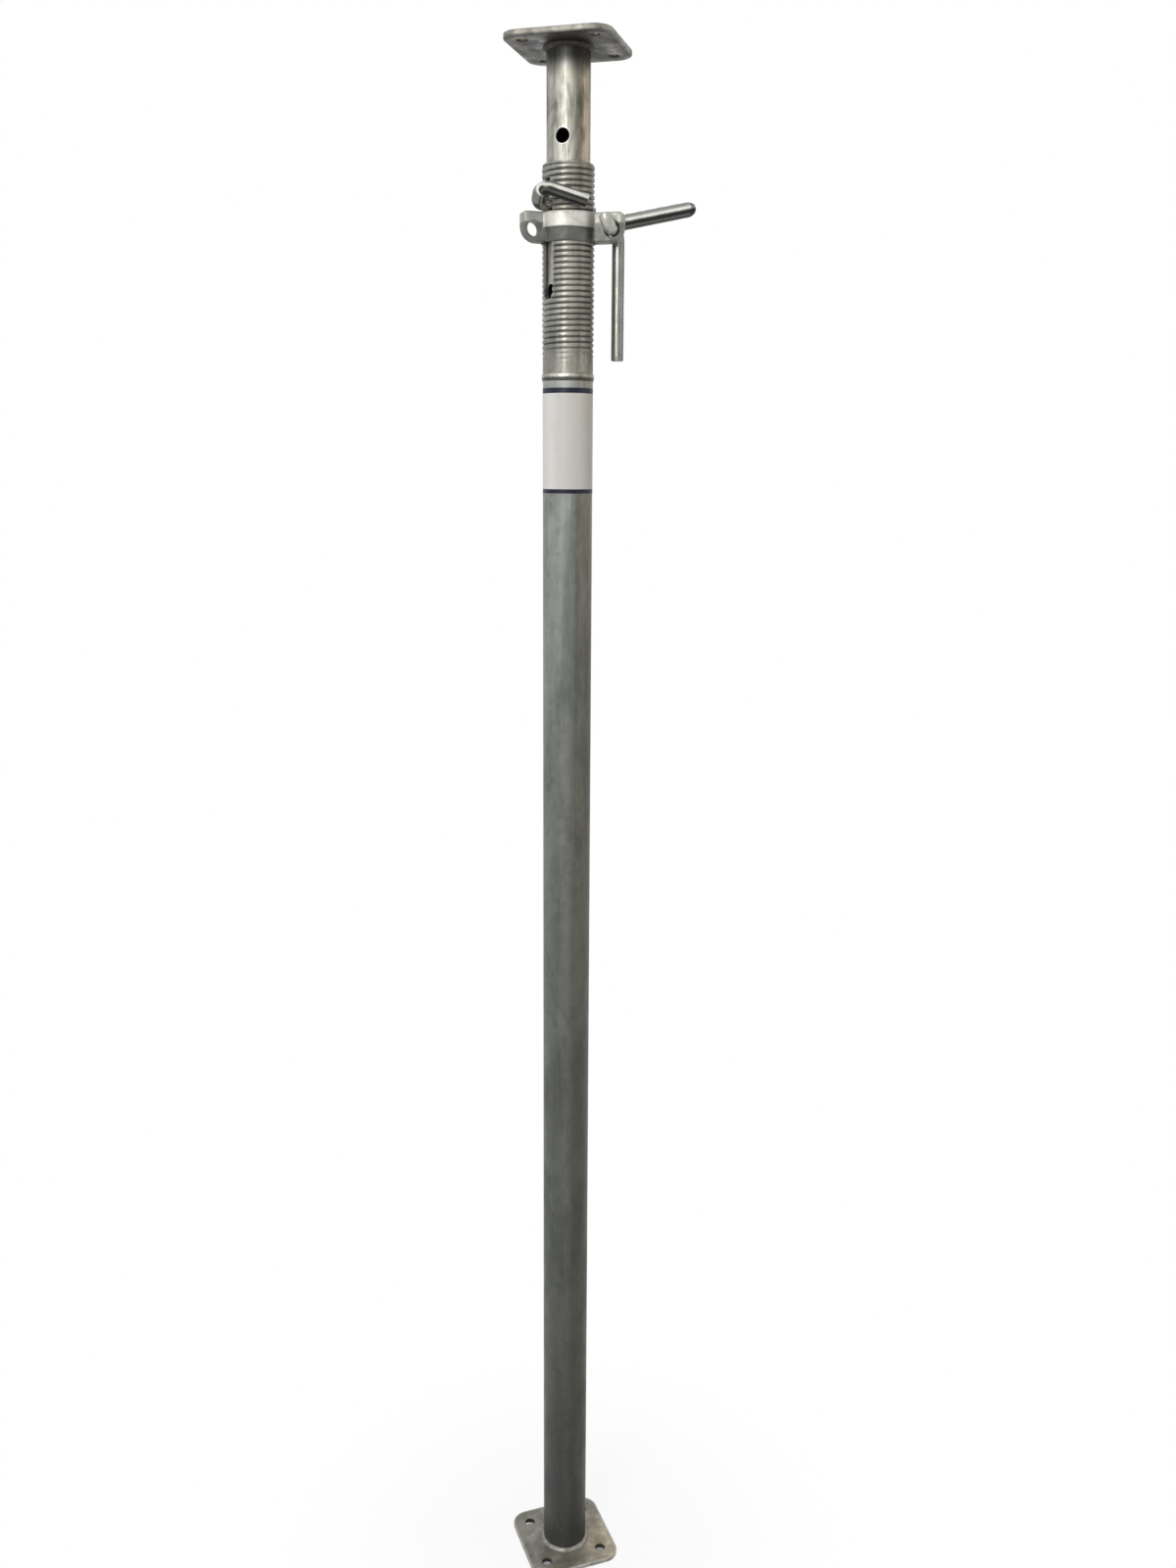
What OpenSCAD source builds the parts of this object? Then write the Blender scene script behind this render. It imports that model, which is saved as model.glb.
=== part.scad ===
// Adjustable steel prop: a slotted and threaded outer tube on a foot plate, an
// inner tube with a row of holes and a head plate, a collar nut that turns on
// the outer thread, and a bent pin that carries the inner tube on the nut.
// Sizes are in millimetres. Z is up and z = 0 is the floor under the foot plate.

/* [Outer tube] */
// Height of the outer tube's open rim above the floor
outer_rim_h = 1767; // [1500:1:2000]
// Outside diameter of the plain outer tube
outer_d = 57; // [56.2:0.1:57.6]
// Wall of the outer tube and of its threaded sleeve
outer_wall = 2.9; // [2.4:0.1:3.0]
// Diameter over the crests of the rolled thread
thread_d = 58.2; // [58:0.05:58.6]
// Length of the threaded zone below the rim
thread_len = 199; // [180:1:215]
// Plain length between the thread and the welded seam below it
plain_neck = 25.5; // [10:0.5:60]

/* [Slot] */
// Direction in which the slot looks, counted from +X in the plan
slot_dir = 198; // [0:1:359]
// Width of the slot that the pin runs in
slot_w = 16; // [15:0.1:20]
// From the rim down to the top end of the slot
slot_top_drop = 15; // [10:1:20]
// From the top end to the bottom end of the slot
slot_len = 127; // [122:1:135]

/* [Inner tube] */
// Outside diameter of the inner tube
inner_d = 48.3; // [46:0.1:48.5]
// Wall of the inner tube
inner_wall = 3.2; // [2.6:0.1:4]
// Length of the inner tube
inner_len = 1600; // [1400:5:1700]
// Rest gap between the rim and the underside of the head plate
head_gap = 118; // [110:1:140]
// Distance between the adjusting holes
hole_pitch = 90; // [80:1:95]
// Number of adjusting holes in the row
hole_count = 13; // [8:1:14]
// Diameter of the adjusting holes
hole_d = 16; // [14.8:0.1:18]
// From the head plate down to the single cross hole
cross_drop = 92; // [70:1:95]

/* [Plates] */
// Side of the square foot and head plates
plate_w = 120; // [110:1:150]
// Thickness of both plates
plate_t = 6; // [4:0.5:10]
// Radius of the plate corners
plate_corner_r = 20; // [8:1:24]
// Distance between the foot plate's fixing holes, along both sides
foot_bolt_spacing = 76; // [70:1:80]
// Distance between the head plate's fixing holes, along both sides
head_bolt_spacing = 80; // [76:1:84]
// Diameter of the fixing holes
bolt_hole_d = 12; // [9:0.5:14]
// Diameter of the zinc drain hole in the middle of each plate
drain_d = 26; // [10:1:34]
// Turn of the head plate against the foot plate
head_turn = -35.5; // [-45:0.5:45]

/* [Collar nut] */
// Height of the collar nut
nut_h = 31.4; // [29:0.1:32]
// Outside diameter of the collar nut
nut_d = 67; // [65:0.5:68]
// Radial clearance between the nut's bore and the thread crests
nut_clear = 0.3; // [0.15:0.05:0.5]
// From the rim down to the top of the nut at rest
nut_drop = 50.6; // [46:0.2:56]
// Thickness of the two ears
ear_t = 20; // [18:0.5:21]
// Reach of the plain ear from the axis
ear_reach = 54; // [53:0.5:60]
// Reach of the ear that carries the swing handle
handle_ear_reach = 63; // [62:0.5:64]
// Direction of the ear that carries the swing handle
ear_dir = -34; // [-50:1:-30]
// Angle between the two ears, measured round the front
ear_spread = 145; // [140:1:180]
// Diameter of the eyes in the ears
eye_d = 16; // [15.6:0.1:17.5]

/* [Turning bar] */
// Diameter of the turning bar on the nut
bar_d = 17; // [14:0.5:17.5]
// Reach of the turning bar from the axis
bar_reach = 160; // [120:1:200]
// Rise of the turning bar above the level
bar_rise = 13.6; // [10:0.2:14]
// Angle between the handle ear and the turning bar
bar_from_ear = 38.5; // [38.5:0.5:70]

/* [Pin and handle] */
// Diameter of the bent pin and of the swing handle
rod_d = 14.2; // [12:0.1:14.4]
// Radius of the rod bends, measured to the middle of the rod
rod_bend_r = 11; // [10:0.5:11.5]
// Angle from the slot round to the front of the pin's loop
loop_turn = 53; // [48:1:58]
// Reach of the pin's level shank from the axis, to its outer corner
shank_reach = 42.8; // [40:0.2:46]
// Length of the swing handle below its eye
handle_len = 137; // [90:1:160]
// Clearance between the pin and the nut it rests on
pin_rest_gap = 0.3; // [0.1:0.1:0.6]

/* [Label] */
// Height of the foil label
label_h = 115; // [60:1:130]
// From the seam down to the top edge of the label
label_drop = 13; // [10:1:40]
// Part of the circumference that the label covers, in degrees
label_wrap = 210; // [90:5:270]

/* [Hidden] */
outer_r = outer_d / 2;
outer_bore_r = outer_r - outer_wall;
thread_r = thread_d / 2;
inner_r = inner_d / 2;
inner_bore_r = inner_r - inner_wall;
rod_r = rod_d / 2;
rim_z = outer_rim_h;
seam_z = rim_z - thread_len - plain_neck;
slot_top_z = rim_z - slot_top_drop;
slot_bot_z = slot_top_z - slot_len;
head_z = rim_z + head_gap;
nut_top_z = rim_z - nut_drop;
nut_bot_z = nut_top_z - nut_h;
nut_bore_r = thread_r + nut_clear;
nut_r = nut_d / 2;
pin_z = nut_top_z + pin_rest_gap + rod_r;
eye_z = nut_bot_z + 13.4;
eye_r = eye_d / 2;
handle_eye_reach = handle_ear_reach - 11;
plain_eye_reach = ear_reach - 11.5;
bar_dir = ear_dir + bar_from_ear;
bar_root_z = nut_bot_z + 19.3;
// direction that faces the front of the pin's loop
front_dir = slot_dir + loop_turn;
guide_len = 60;
bead = 4.5;
bend_lap = 0.8;
bend_swell = 0.06;
zinc = [0.70, 0.71, 0.69];
zinc_dull = [0.46, 0.47, 0.44];
zinc_bright = [0.78, 0.79, 0.78];
weld_tone = [0.62, 0.62, 0.58];
foil = [0.93, 0.94, 0.94];
$fn = 96;

// node that is drawn, or all of them

// ---- plates -------------------------------------------------------------
// square plate with round corners, four fixing holes and a drain hole
module plate(bolt_spacing) {
    s = plate_w / 2 - plate_corner_r;
    b = bolt_spacing / 2;
    difference() {
        linear_extrude(height = plate_t)
            union() {
                square([plate_w, 2 * s], center = true);
                square([2 * s, plate_w], center = true);
                for (x = [-s, s], y = [-s, s])
                    translate([x, y])
                        circle(r = plate_corner_r);
            }
        for (x = [-b, b], y = [-b, b])
            translate([x, y, -1])
                cylinder(h = plate_t + 2, r = bolt_hole_d / 2);
        translate([0, 0, -1])
            cylinder(h = plate_t + 2, r = drain_d / 2);
    }
}

module base_plate() {
    color(zinc)
        plate(foot_bolt_spacing);
}

module head_plate() {
    color(zinc)
        translate([0, 0, head_z])
            rotate([0, 0, head_turn])
                plate(head_bolt_spacing);
}

// ---- welds --------------------------------------------------------------
// fillet bead round a tube of radius r, standing on z = 0, leg w
module fillet_bead(r, w) {
    rotate_extrude()
        polygon([[r, 0], [r + w, 0], [r + w * 0.82, w * 0.34],
            [r + w * 0.55, w * 0.68], [r + w * 0.2, w * 0.95], [r, w]]);
}

module base_weld() {
    color(weld_tone)
        translate([0, 0, plate_t])
            fillet_bead(outer_r, bead);
}

module head_weld() {
    color(weld_tone)
        translate([0, 0, head_z])
            mirror([0, 0, 1])
                fillet_bead(inner_r, bead);
}

// raised butt seam between the plain tube and the threaded sleeve
module sleeve_weld() {
    color(weld_tone)
        translate([0, 0, seam_z])
            rotate_extrude()
                polygon([[outer_r, -4.5], [outer_r + 0.9, -3.9],
                    [outer_r + 1.6, -2.2], [outer_r + 1.9, 0],
                    [outer_r + 1.6, 2.2], [outer_r + 0.9, 3.9],
                    [outer_r, 4.5]]);
}

// ---- outer tube -----------------------------------------------------------
module outer_tube() {
    color(zinc_dull)
        translate([0, 0, plate_t])
            difference() {
                cylinder(h = seam_z - plate_t, r = outer_r);
                translate([0, 0, -1])
                    cylinder(h = seam_z - plate_t + 2, r = outer_bore_r);
            }
}

// backing ring that lines up the two tubes at the seam and guides the inner tube
module joint_sleeve() {
    color(zinc)
        translate([0, 0, seam_z - guide_len / 2])
            difference() {
                cylinder(h = guide_len, r = outer_bore_r);
                translate([0, 0, -1])
                    cylinder(h = guide_len + 2, r = inner_r + 0.35);
            }
}

// long hole with round ends, cut right through both walls of a tube
module slot_cut() {
    r = slot_w / 2;
    rotate([0, 0, slot_dir])
        union() {
            translate([-thread_d, -r, slot_bot_z + r])
                cube([2 * thread_d, slot_w, slot_len - slot_w]);
            for (z = [slot_bot_z + r, slot_top_z - r])
                translate([-thread_d, 0, z])
                    rotate([0, 90, 0])
                        cylinder(h = 2 * thread_d, r = r);
        }
}

// the thread itself is surface relief, so the zone is a plain crest cylinder
module thread_sleeve() {
    zone_z = rim_z - thread_len;
    color(zinc_dull)
        difference() {
            rotate_extrude()
                polygon([[outer_bore_r, seam_z], [outer_r, seam_z],
                    [outer_r, zone_z - 1], [thread_r, zone_z],
                    [thread_r, rim_z - 1.2], [thread_r - 1.2, rim_z],
                    [outer_bore_r, rim_z]]);
            slot_cut();
        }
}

// thin foil round the front of the plain tube
module label() {
    top = seam_z - label_drop;
    color(foil)
        translate([0, 0, top - label_h])
            rotate([0, 0, front_dir - label_wrap / 2])
                rotate_extrude(angle = label_wrap)
                    translate([outer_r + 0.06, 0])
                        square([0.14, label_h]);
}

// ---- inner tube -----------------------------------------------------------
module inner_tube() {
    color(zinc_bright)
        difference() {
            translate([0, 0, head_z - inner_len])
                cylinder(h = inner_len, r = inner_r);
            translate([0, 0, head_z - inner_len - 1])
                cylinder(h = inner_len + 2, r = inner_bore_r);
            for (k = [0 : hole_count - 1])
                translate([0, 0, pin_z - k * hole_pitch])
                    rotate([0, 0, slot_dir])
                        rotate([0, 90, 0])
                            cylinder(h = 80, r = hole_d / 2, center = true);
            translate([0, 0, head_z - cross_drop])
                rotate([0, 0, head_turn - 90])
                    rotate([0, 90, 0])
                        cylinder(h = 80, r = hole_d / 2, center = true);
        }
}

// ring shrunk on the foot of the inner tube, which cannot pass the guide ring
module stop_collar() {
    color(zinc)
        translate([0, 0, head_z - inner_len])
            difference() {
                cylinder(h = 30, r = outer_bore_r - 0.2);
                translate([0, 0, -1])
                    cylinder(h = 32, r = inner_r);
            }
}

// ---- collar nut -----------------------------------------------------------
// outline of one ear in the upright plane: flat top, round lower outer corner
module ear_outline(reach) {
    c = 17;
    x0 = nut_bore_r + 1.5;
    intersection() {
        union() {
            translate([0, c])
                square([reach, nut_h]);
            square([reach - c, nut_h]);
            translate([reach - c, c])
                circle(r = c);
        }
        translate([x0, 0])
            square([reach, nut_h]);
    }
}

module ear(reach, eye_x) {
    difference() {
        translate([0, ear_t / 2, 0])
            rotate([90, 0, 0])
                linear_extrude(height = ear_t)
                    ear_outline(reach);
        translate([eye_x, 0, eye_z - nut_bot_z])
            rotate([90, 0, 0])
                cylinder(h = ear_t + 2, r = eye_r, center = true);
    }
}

module collar_nut() {
    step = 17;
    low = nut_h - step;
    color(zinc_bright)
        translate([0, 0, nut_bot_z])
            difference() {
                union() {
                    rotate_extrude()
                        polygon([[20, 0], [nut_r - 3.2, 0], [nut_r - 2.2, 1.2],
                            [nut_r - 1.2, low], [nut_r, low + 0.8],
                            [nut_r, nut_h - 0.8], [nut_r - 0.8, nut_h],
                            [20, nut_h]]);
                    rotate([0, 0, ear_dir])
                        ear(handle_ear_reach, handle_eye_reach);
                    rotate([0, 0, ear_dir - ear_spread])
                        ear(ear_reach, plain_eye_reach);
                }
                translate([0, 0, -1])
                    cylinder(h = nut_h + 2, r = nut_bore_r);
            }
}

// ---- turning bar ----------------------------------------------------------
// frame on the bar's axis: x runs outwards along the bar from the nut's side
module on_bar() {
    translate([0, 0, bar_root_z])
        rotate([0, 0, bar_dir])
            translate([nut_r - 1.8, 0, 0])
                rotate([0, -bar_rise, 0])
                    children();
}

module turning_bar() {
    len = (bar_reach - nut_r) / cos(bar_rise);
    r = bar_d / 2;
    color(zinc)
        difference() {
            on_bar()
                rotate([0, 90, 0])
                    rotate_extrude()
                        polygon([[0, -6], [r, -6], [r, len - 9],
                            [r - 0.7, len - 6], [r - 2.6, len - 2],
                            [r - 4.4, len - 0.6], [0, len]]);
            translate([0, 0, nut_bot_z - 1])
                cylinder(h = nut_h + 30, r = nut_r);
        }
}

module bar_weld() {
    r = bar_d / 2;
    color(weld_tone)
        difference() {
            on_bar()
                rotate([0, 90, 0])
                    rotate_extrude()
                        polygon([[r, -6], [r + 2.2, -6], [r + 2.2, 1],
                            [r + 1.7, 3.2], [r + 0.9, 4.6], [r, 5.2]]);
            translate([0, 0, nut_bot_z - 1])
                cylinder(h = nut_h + 30, r = nut_r);
            translate([0, 0, nut_top_z])
                cylinder(h = bar_d, r = bar_reach);
        }
}

// ---- bent rods --------------------------------------------------------------
function unit(v) = v / norm(v);
// half of the turn between two directions
function half_turn(a, b) = acos(max(-1, min(1, a * b))) / 2;

// straight piece of rod from p to q
module rod_between(p, q, r) {
    d = q - p;
    translate(p)
        rotate([0, acos(d[2] / norm(d)), atan2(d[1], d[0])])
            cylinder(h = norm(d), r = r);
}

// bend at corner c between the directions a and b, bend radius br
module rod_bend(c, a, b, r, br) {
    h = half_turn(a, b);
    s = c - a * (br * tan(h));
    n = unit(b - a * (a * b));
    z = cross(n, a);
    m = s + n * br;
    multmatrix([[-n[0], a[0], -z[0], m[0]],
        [-n[1], a[1], -z[1], m[1]],
        [-n[2], a[2], -z[2], m[2]]])
        rotate_extrude(angle = 2 * h)
            translate([br, 0])
                circle(r = r);
}

// round rod along four points with a bend at each of the two middle ones;
// a bend is a hair thicker than the straight runs, which reach a little into it
module bent_rod(p, r, br) {
    a = unit(p[1] - p[0]);
    b = unit(p[2] - p[1]);
    c = unit(p[3] - p[2]);
    t1 = br * tan(half_turn(a, b)) - bend_lap;
    t2 = br * tan(half_turn(b, c)) - bend_lap;
    union() {
        rod_between(p[0], p[1] - a * t1, r);
        rod_bend(p[1], a, b, r + bend_swell, br);
        rod_between(p[1] + b * t1, p[2] - b * t2, r);
        rod_bend(p[2], b, c, r + bend_swell, br);
        rod_between(p[2] + c * t2, p[3], r);
    }
}

// the pin: a level shank through both tubes, a loop that rises outside the
// slot, crosses the front of the thread and slopes down to a cut end
module g_pin() {
    zp = pin_z;
    shank = [cos(loop_turn), -sin(loop_turn), 0];
    $fn = 48;
    color(zinc_bright)
        rotate([0, 0, front_dir])
            bent_rod([[0, 0, zp] - shank * (thread_r + 4.9),
                [0, 0, zp] + shank * shank_reach,
                [47.2, -29.6, zp + 14.6], [37.6, 20.5, zp + 0.6]],
                rod_r, rod_bend_r);
}

// the handle: a leg that hangs behind the ear, a straight run through the eye
// and a short upturned end in front of it
module swing_handle() {
    far = ear_t / 2 + 1.2 + rod_bend_r;
    $fn = 48;
    color(zinc_bright)
        translate([0, 0, eye_z])
            rotate([0, 0, ear_dir])
                translate([handle_eye_reach, 0, 0])
                    bent_rod([[0, far, -handle_len], [0, far, 0],
                        [0, -far, 0], [-5.4, -far, 13.8]],
                        rod_r, rod_bend_r);
}

base_plate();
base_weld();
outer_tube();
sleeve_weld();
joint_sleeve();
thread_sleeve();
label();
inner_tube();
head_plate();
head_weld();
stop_collar();
collar_nut();
turning_bar();
bar_weld();
swing_handle();
g_pin();
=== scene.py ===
"""Dressed scene of an adjustable steel prop.

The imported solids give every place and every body. Each sub-assembly is a class
that works out its surfaces from its own sizes and dresses them, and each finish
is a frozen dataclass. Sizes are in millimetres and are turned into metres where
a mesh is made; angles are in degrees unless a name says otherwise.
"""
import logging
import math
from dataclasses import dataclass, replace
from enum import Enum
from typing import Iterator, Mapping, Sequence

import bmesh
import bpy
import numpy as np
from mathutils import Matrix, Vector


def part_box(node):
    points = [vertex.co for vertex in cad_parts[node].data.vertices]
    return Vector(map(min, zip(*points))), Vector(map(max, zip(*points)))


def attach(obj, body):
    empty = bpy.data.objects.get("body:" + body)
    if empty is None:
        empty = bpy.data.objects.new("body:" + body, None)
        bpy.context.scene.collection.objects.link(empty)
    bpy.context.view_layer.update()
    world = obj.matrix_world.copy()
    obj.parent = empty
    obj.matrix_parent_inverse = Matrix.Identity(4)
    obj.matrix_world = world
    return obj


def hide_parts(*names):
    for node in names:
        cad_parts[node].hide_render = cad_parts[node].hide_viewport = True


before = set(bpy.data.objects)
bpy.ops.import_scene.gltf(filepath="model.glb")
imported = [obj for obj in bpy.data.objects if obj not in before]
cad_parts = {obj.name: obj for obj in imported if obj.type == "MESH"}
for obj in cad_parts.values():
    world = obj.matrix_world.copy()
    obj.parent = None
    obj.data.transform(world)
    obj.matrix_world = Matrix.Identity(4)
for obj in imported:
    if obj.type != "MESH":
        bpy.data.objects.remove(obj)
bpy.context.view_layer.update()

LOG = logging.getLogger("prop")
Array = np.ndarray
Point = tuple[float, float, float]
RGB = tuple[float, float, float]
Socket = bpy.types.NodeSocket
Value = Socket | float

TAU = 2.0 * math.pi
MM = 0.001  # one millimetre, in metres
MERGE = 1e-7  # distance in metres under which two points become one

FRONT = -108.93  # direction in the plan that the painted light and shade round the axis are counted from
SLOT_DIR = 198.0  # direction of the slot and of the row of holes behind it
HEAD_TURN = -35.5  # turn of the head plate; the single cross hole below it is square to it
PLATE_SIDE = 120.0
PLATE_CORNER = 20.0
PLATE_THICK = 6.0
FOOT_BOLT = 38.0  # distance of the foot plate's fixing holes from its middle lines
HEAD_BOLT = 40.0  # the same for the head plate
WELD_LEG = 4.5  # leg of the fillet welds at the plates
HOLE_R = 8.0  # radius of the cross holes, and half the slot's width
ROD_D = 14.2  # diameter of the pin and of the handle
BEND = 11.0  # radius of their bends
EYE_RISE = 13.4  # height of the ears' eyes above the nut's lower face
EAR_THICK = 20.0
FILLET = 1.6  # power of cosine and sine in a convex fillet's face


class Body(str, Enum):
    """Bodies of the frame that the pieces ride on."""

    OUTER = "outer"
    INNER = "inner"
    NUT = "nut"
    PIN = "pin"
    HANDLE = "handle"


# ---- surfaces ---------------------------------------------------------------------
def turn_z(points: Array, degrees: float) -> Array:
    """Turn points about Z: x' = x cos a - y sin a and y' = x sin a + y cos a.

    Args:
        points: Array whose last axis holds x, y and z.
        degrees: Angle a, counted from +X towards +Y.

    Returns:
        The turned points.
    """
    c, s = math.cos(math.radians(degrees)), math.sin(math.radians(degrees))
    return points @ np.array([[c, s, 0.0], [-s, c, 0.0], [0.0, 0.0, 1.0]])


def unit(v: Array) -> Array:
    """Divide vectors by their length along the last axis."""
    return v / np.linalg.norm(v, axis=-1, keepdims=True)


def smoothstep(x: Array) -> Array:
    """Ease from 0 to 1: 3 x squared less 2 x cubed, with x held between 0 and 1."""
    x = np.clip(x, 0.0, 1.0)
    return x * x * (3.0 - 2.0 * x)


def wobble(angle: Array, seed: int, low: int = 2, high: int = 17) -> Array:
    """Uneven wave round a circle, about -1 to 1.

    The sum over whole numbers n from low to high of cos(n angle + phase) / n to the
    power 0.6, scaled by its largest value; the phases come from the seed.

    Args:
        angle: Angles in radians.
        seed: Seed of the phases.
        low: Smallest number of waves round the circle.
        high: Largest number of waves round the circle.

    Returns:
        The wave's height at each angle.
    """
    rng = np.random.default_rng(seed)
    n = np.arange(low, high + 1)
    phase = rng.uniform(0.0, TAU, n.size)
    wave = (np.cos(angle[..., None] * n + phase) / n**0.6).sum(-1)
    return wave / np.abs(wave).max()


def four(half: float) -> tuple[tuple[float, float], ...]:
    """Corners of a square about the axis, from its half side."""
    return (half, half), (-half, half), (-half, -half), (half, -half)


def placed(name: str, data: bpy.types.ID) -> bpy.types.Object:
    """Put a mesh, a lamp or a camera into the scene.

    Args:
        name: Name of the object.
        data: What the object shows.

    Returns:
        The object, at the origin.
    """
    made = bpy.data.objects.new(name, data)
    bpy.context.scene.collection.objects.link(made)
    return made


@dataclass
class Skin:
    """A grid of points that becomes a closed mesh.

    Attributes:
        points: Rows by columns by 3, in millimetres.
        wrap_cols: True where the last column joins the first; rows always join.
        caps: True where the first and last columns are closed by a flat face.
        v: Texture coordinate along the columns, one more where columns wrap.
        uv: Texture coordinates of all points and of one more row, in place of even ones.
        shade: Optional value of each point, kept as the attribute "shade".
    """

    points: Array
    wrap_cols: bool = True
    caps: bool = False
    v: Array | None = None
    uv: Array | None = None
    shade: Array | None = None

    def corners(self) -> tuple[tuple[Array, Array], ...]:
        """Rows and columns of the quads' corners.

        Returns:
            The places (i, j), (i+1, j), (i+1, j+1) and (i, j+1).
        """
        rows, cols = self.points.shape[:2]
        steps = cols if self.wrap_cols else cols - 1
        i, j = np.meshgrid(np.arange(rows), np.arange(steps), indexing="ij")
        return (i, j), (i + 1, j), (i + 1, j + 1), (i, j + 1)

    def faces(self) -> Array:
        """Indices of the quads' corners, where place (i, j) has the index i cols + j."""
        rows, cols = self.points.shape[:2]
        return np.stack([i % rows * cols + j % cols for i, j in self.corners()], -1).reshape(-1, 4)

    def loops(self) -> Array:
        """Texture coordinates of the quads' corners.

        Returns:
            Pairs in the order of faces().
        """
        grid = self.uv
        if grid is None:
            rows, cols = self.points.shape[:2]
            even = np.linspace(0.0, 1.0, cols + 1 if self.wrap_cols else cols)
            v = even if self.v is None else self.v
            grid = np.stack(np.meshgrid(np.linspace(0.0, 1.0, rows + 1), v, indexing="ij"), -1)
        return np.stack([grid[i, j] for i, j in self.corners()], -2).reshape(-1, 2)

    def build(self, name: str, sharp: float = 40.0) -> bpy.types.Object:
        """Make the object, closed and with its faces outwards.

        Args:
            name: Name of the object.
            sharp: Angle in degrees above which an edge stays sharp.

        Returns:
            The object, at the origin, in metres.
        """
        rows, cols = self.points.shape[:2]
        polygons = self.faces().tolist()
        uv = self.loops()
        if self.caps:
            first = np.arange(rows) * cols
            polygons += [first.tolist(), (first + cols - 1).tolist()]
            uv = np.concatenate([uv, np.zeros((2 * rows, 2))])
        mesh = bpy.data.meshes.new(name)
        mesh.from_pydata((self.points.reshape(-1, 3) * MM).tolist(), [], polygons)
        mesh.uv_layers.new(name="UVMap").data.foreach_set("uv", uv.astype(np.float32).ravel())
        if self.shade is not None:
            layer = mesh.attributes.new("shade", "FLOAT", "POINT")
            layer.data.foreach_set("value", self.shade.astype(np.float32).ravel())
        shell = bmesh.new()
        shell.from_mesh(mesh)
        bmesh.ops.remove_doubles(shell, verts=shell.verts, dist=MERGE)
        bmesh.ops.recalc_face_normals(shell, faces=shell.faces)
        shell.to_mesh(mesh)
        shell.free()
        piece = placed(name, mesh)
        soften(piece, sharp)
        return piece


def capped(grid: Array, name: str) -> bpy.types.Object:
    """Make a solid from a grid whose first and last columns become flat ends."""
    return Skin(grid, wrap_cols=False, caps=True).build(name)


def soften(piece: bpy.types.Object, sharp: float) -> None:
    """Shade a piece smooth, with edges over the angle kept sharp."""
    piece.data.shade_smooth()
    piece.data.set_sharp_from_angle(angle=math.radians(sharp))


def lathe(profile: Array, sides: int) -> Array:
    """Carry a profile of (radius, height) pairs round Z.

    Point (i, j) is (r_j cos t_i, r_j sin t_i, z_j) with t_i = 2 pi i / sides.

    Args:
        profile: Pairs of radius and height.
        sides: Number of steps round the axis.

    Returns:
        Grid of sides by profile points.
    """
    t = np.arange(sides)[:, None] * TAU / sides
    r, z = profile[:, 0], profile[:, 1]
    return np.stack([r * np.cos(t), r * np.sin(t), z + 0.0 * t], -1)


def carry(
    path: Array, tangent: Array, radius: Array, sides: int, side: Sequence[float]
) -> tuple[Array, Array]:
    """Carry a circle along a path.

    At each station n = side x tangent and b = tangent x n, and the point at angle t
    is path + radius (n cos t + b sin t).

    Args:
        path: Stations along the middle of the rod.
        tangent: Direction of the rod at each station.
        radius: Radius at each station.
        sides: Number of steps round the rod.
        side: A direction that no tangent is parallel to.

    Returns:
        Grid of sides by stations, and the outward direction of each point.
    """
    n = unit(np.cross(np.asarray(side, float), tangent))
    b = np.cross(tangent, n)
    t = np.arange(sides)[:, None, None] * TAU / sides
    out = n * np.cos(t) + b * np.sin(t)
    return path + radius[:, None] * out, out


def bent_path(corners: Array, bend: float, step: float = 6.0) -> tuple[Array, Array]:
    """Middle line of a rod with a round bend at each inner corner.

    A bend of half turn h starts bend tan(h) before its corner and follows
    m + bend (a sin f - n cos f) for f from 0 to 2 h, where m is the bend's centre, a the
    direction in, and n the direction from the rod towards m.

    Args:
        corners: Points that the straight runs meet at.
        bend: Radius of the bends.
        step: Longest distance between stations on a straight run.

    Returns:
        Stations and their directions.
    """
    run = unit(np.diff(corners, axis=0))
    places: list[Array] = []
    ways: list[Array] = []
    start = corners[0]
    for c, a, b in zip(corners[1:-1], run[:-1], run[1:]):
        h = math.acos(float(np.clip(a @ b, -1.0, 1.0))) / 2.0
        s = c - a * bend * math.tan(h)
        n = unit(b - a * (a @ b))
        count = max(2, int(np.linalg.norm(s - start) / step) + 1)
        places.append(start + (s - start) * np.linspace(0.0, 1.0, count)[:, None])
        ways.append(np.repeat(a[None], count, 0))
        f = np.linspace(0.0, 2.0 * h, 22)[1:-1, None]
        places.append(s + n * bend + bend * (a * np.sin(f) - n * np.cos(f)))
        ways.append(a * np.cos(f) + n * np.sin(f))
        start = c + b * bend * math.tan(h)
    count = max(2, int(np.linalg.norm(corners[-1] - start) / step) + 1)
    places.append(start + (corners[-1] - start) * np.linspace(0.0, 1.0, count)[:, None])
    ways.append(np.repeat(run[-1][None], count, 0))
    return np.concatenate(places), np.concatenate(ways)


def rounded_square(side: float, corner: float, steps: int = 14) -> tuple[Array, Array]:
    """Outline of a square with round corners and its outward directions.

    Each corner is the arc c + r (cos t, sin t) about its own centre c.

    Args:
        side: Side of the square.
        corner: Radius of its corners.
        steps: Points on each corner's arc.

    Returns:
        Points and outward directions, both as pairs of x and y.
    """
    t = np.radians(np.linspace(0.0, 90.0, steps) + np.arange(4)[:, None] * 90.0)
    way = np.stack([np.cos(t), np.sin(t)], -1)
    mid = np.sign(way.mean(axis=1, keepdims=True)) * (side / 2.0 - corner)
    return (mid + corner * way).reshape(-1, 2), way.reshape(-1, 2)


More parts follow.
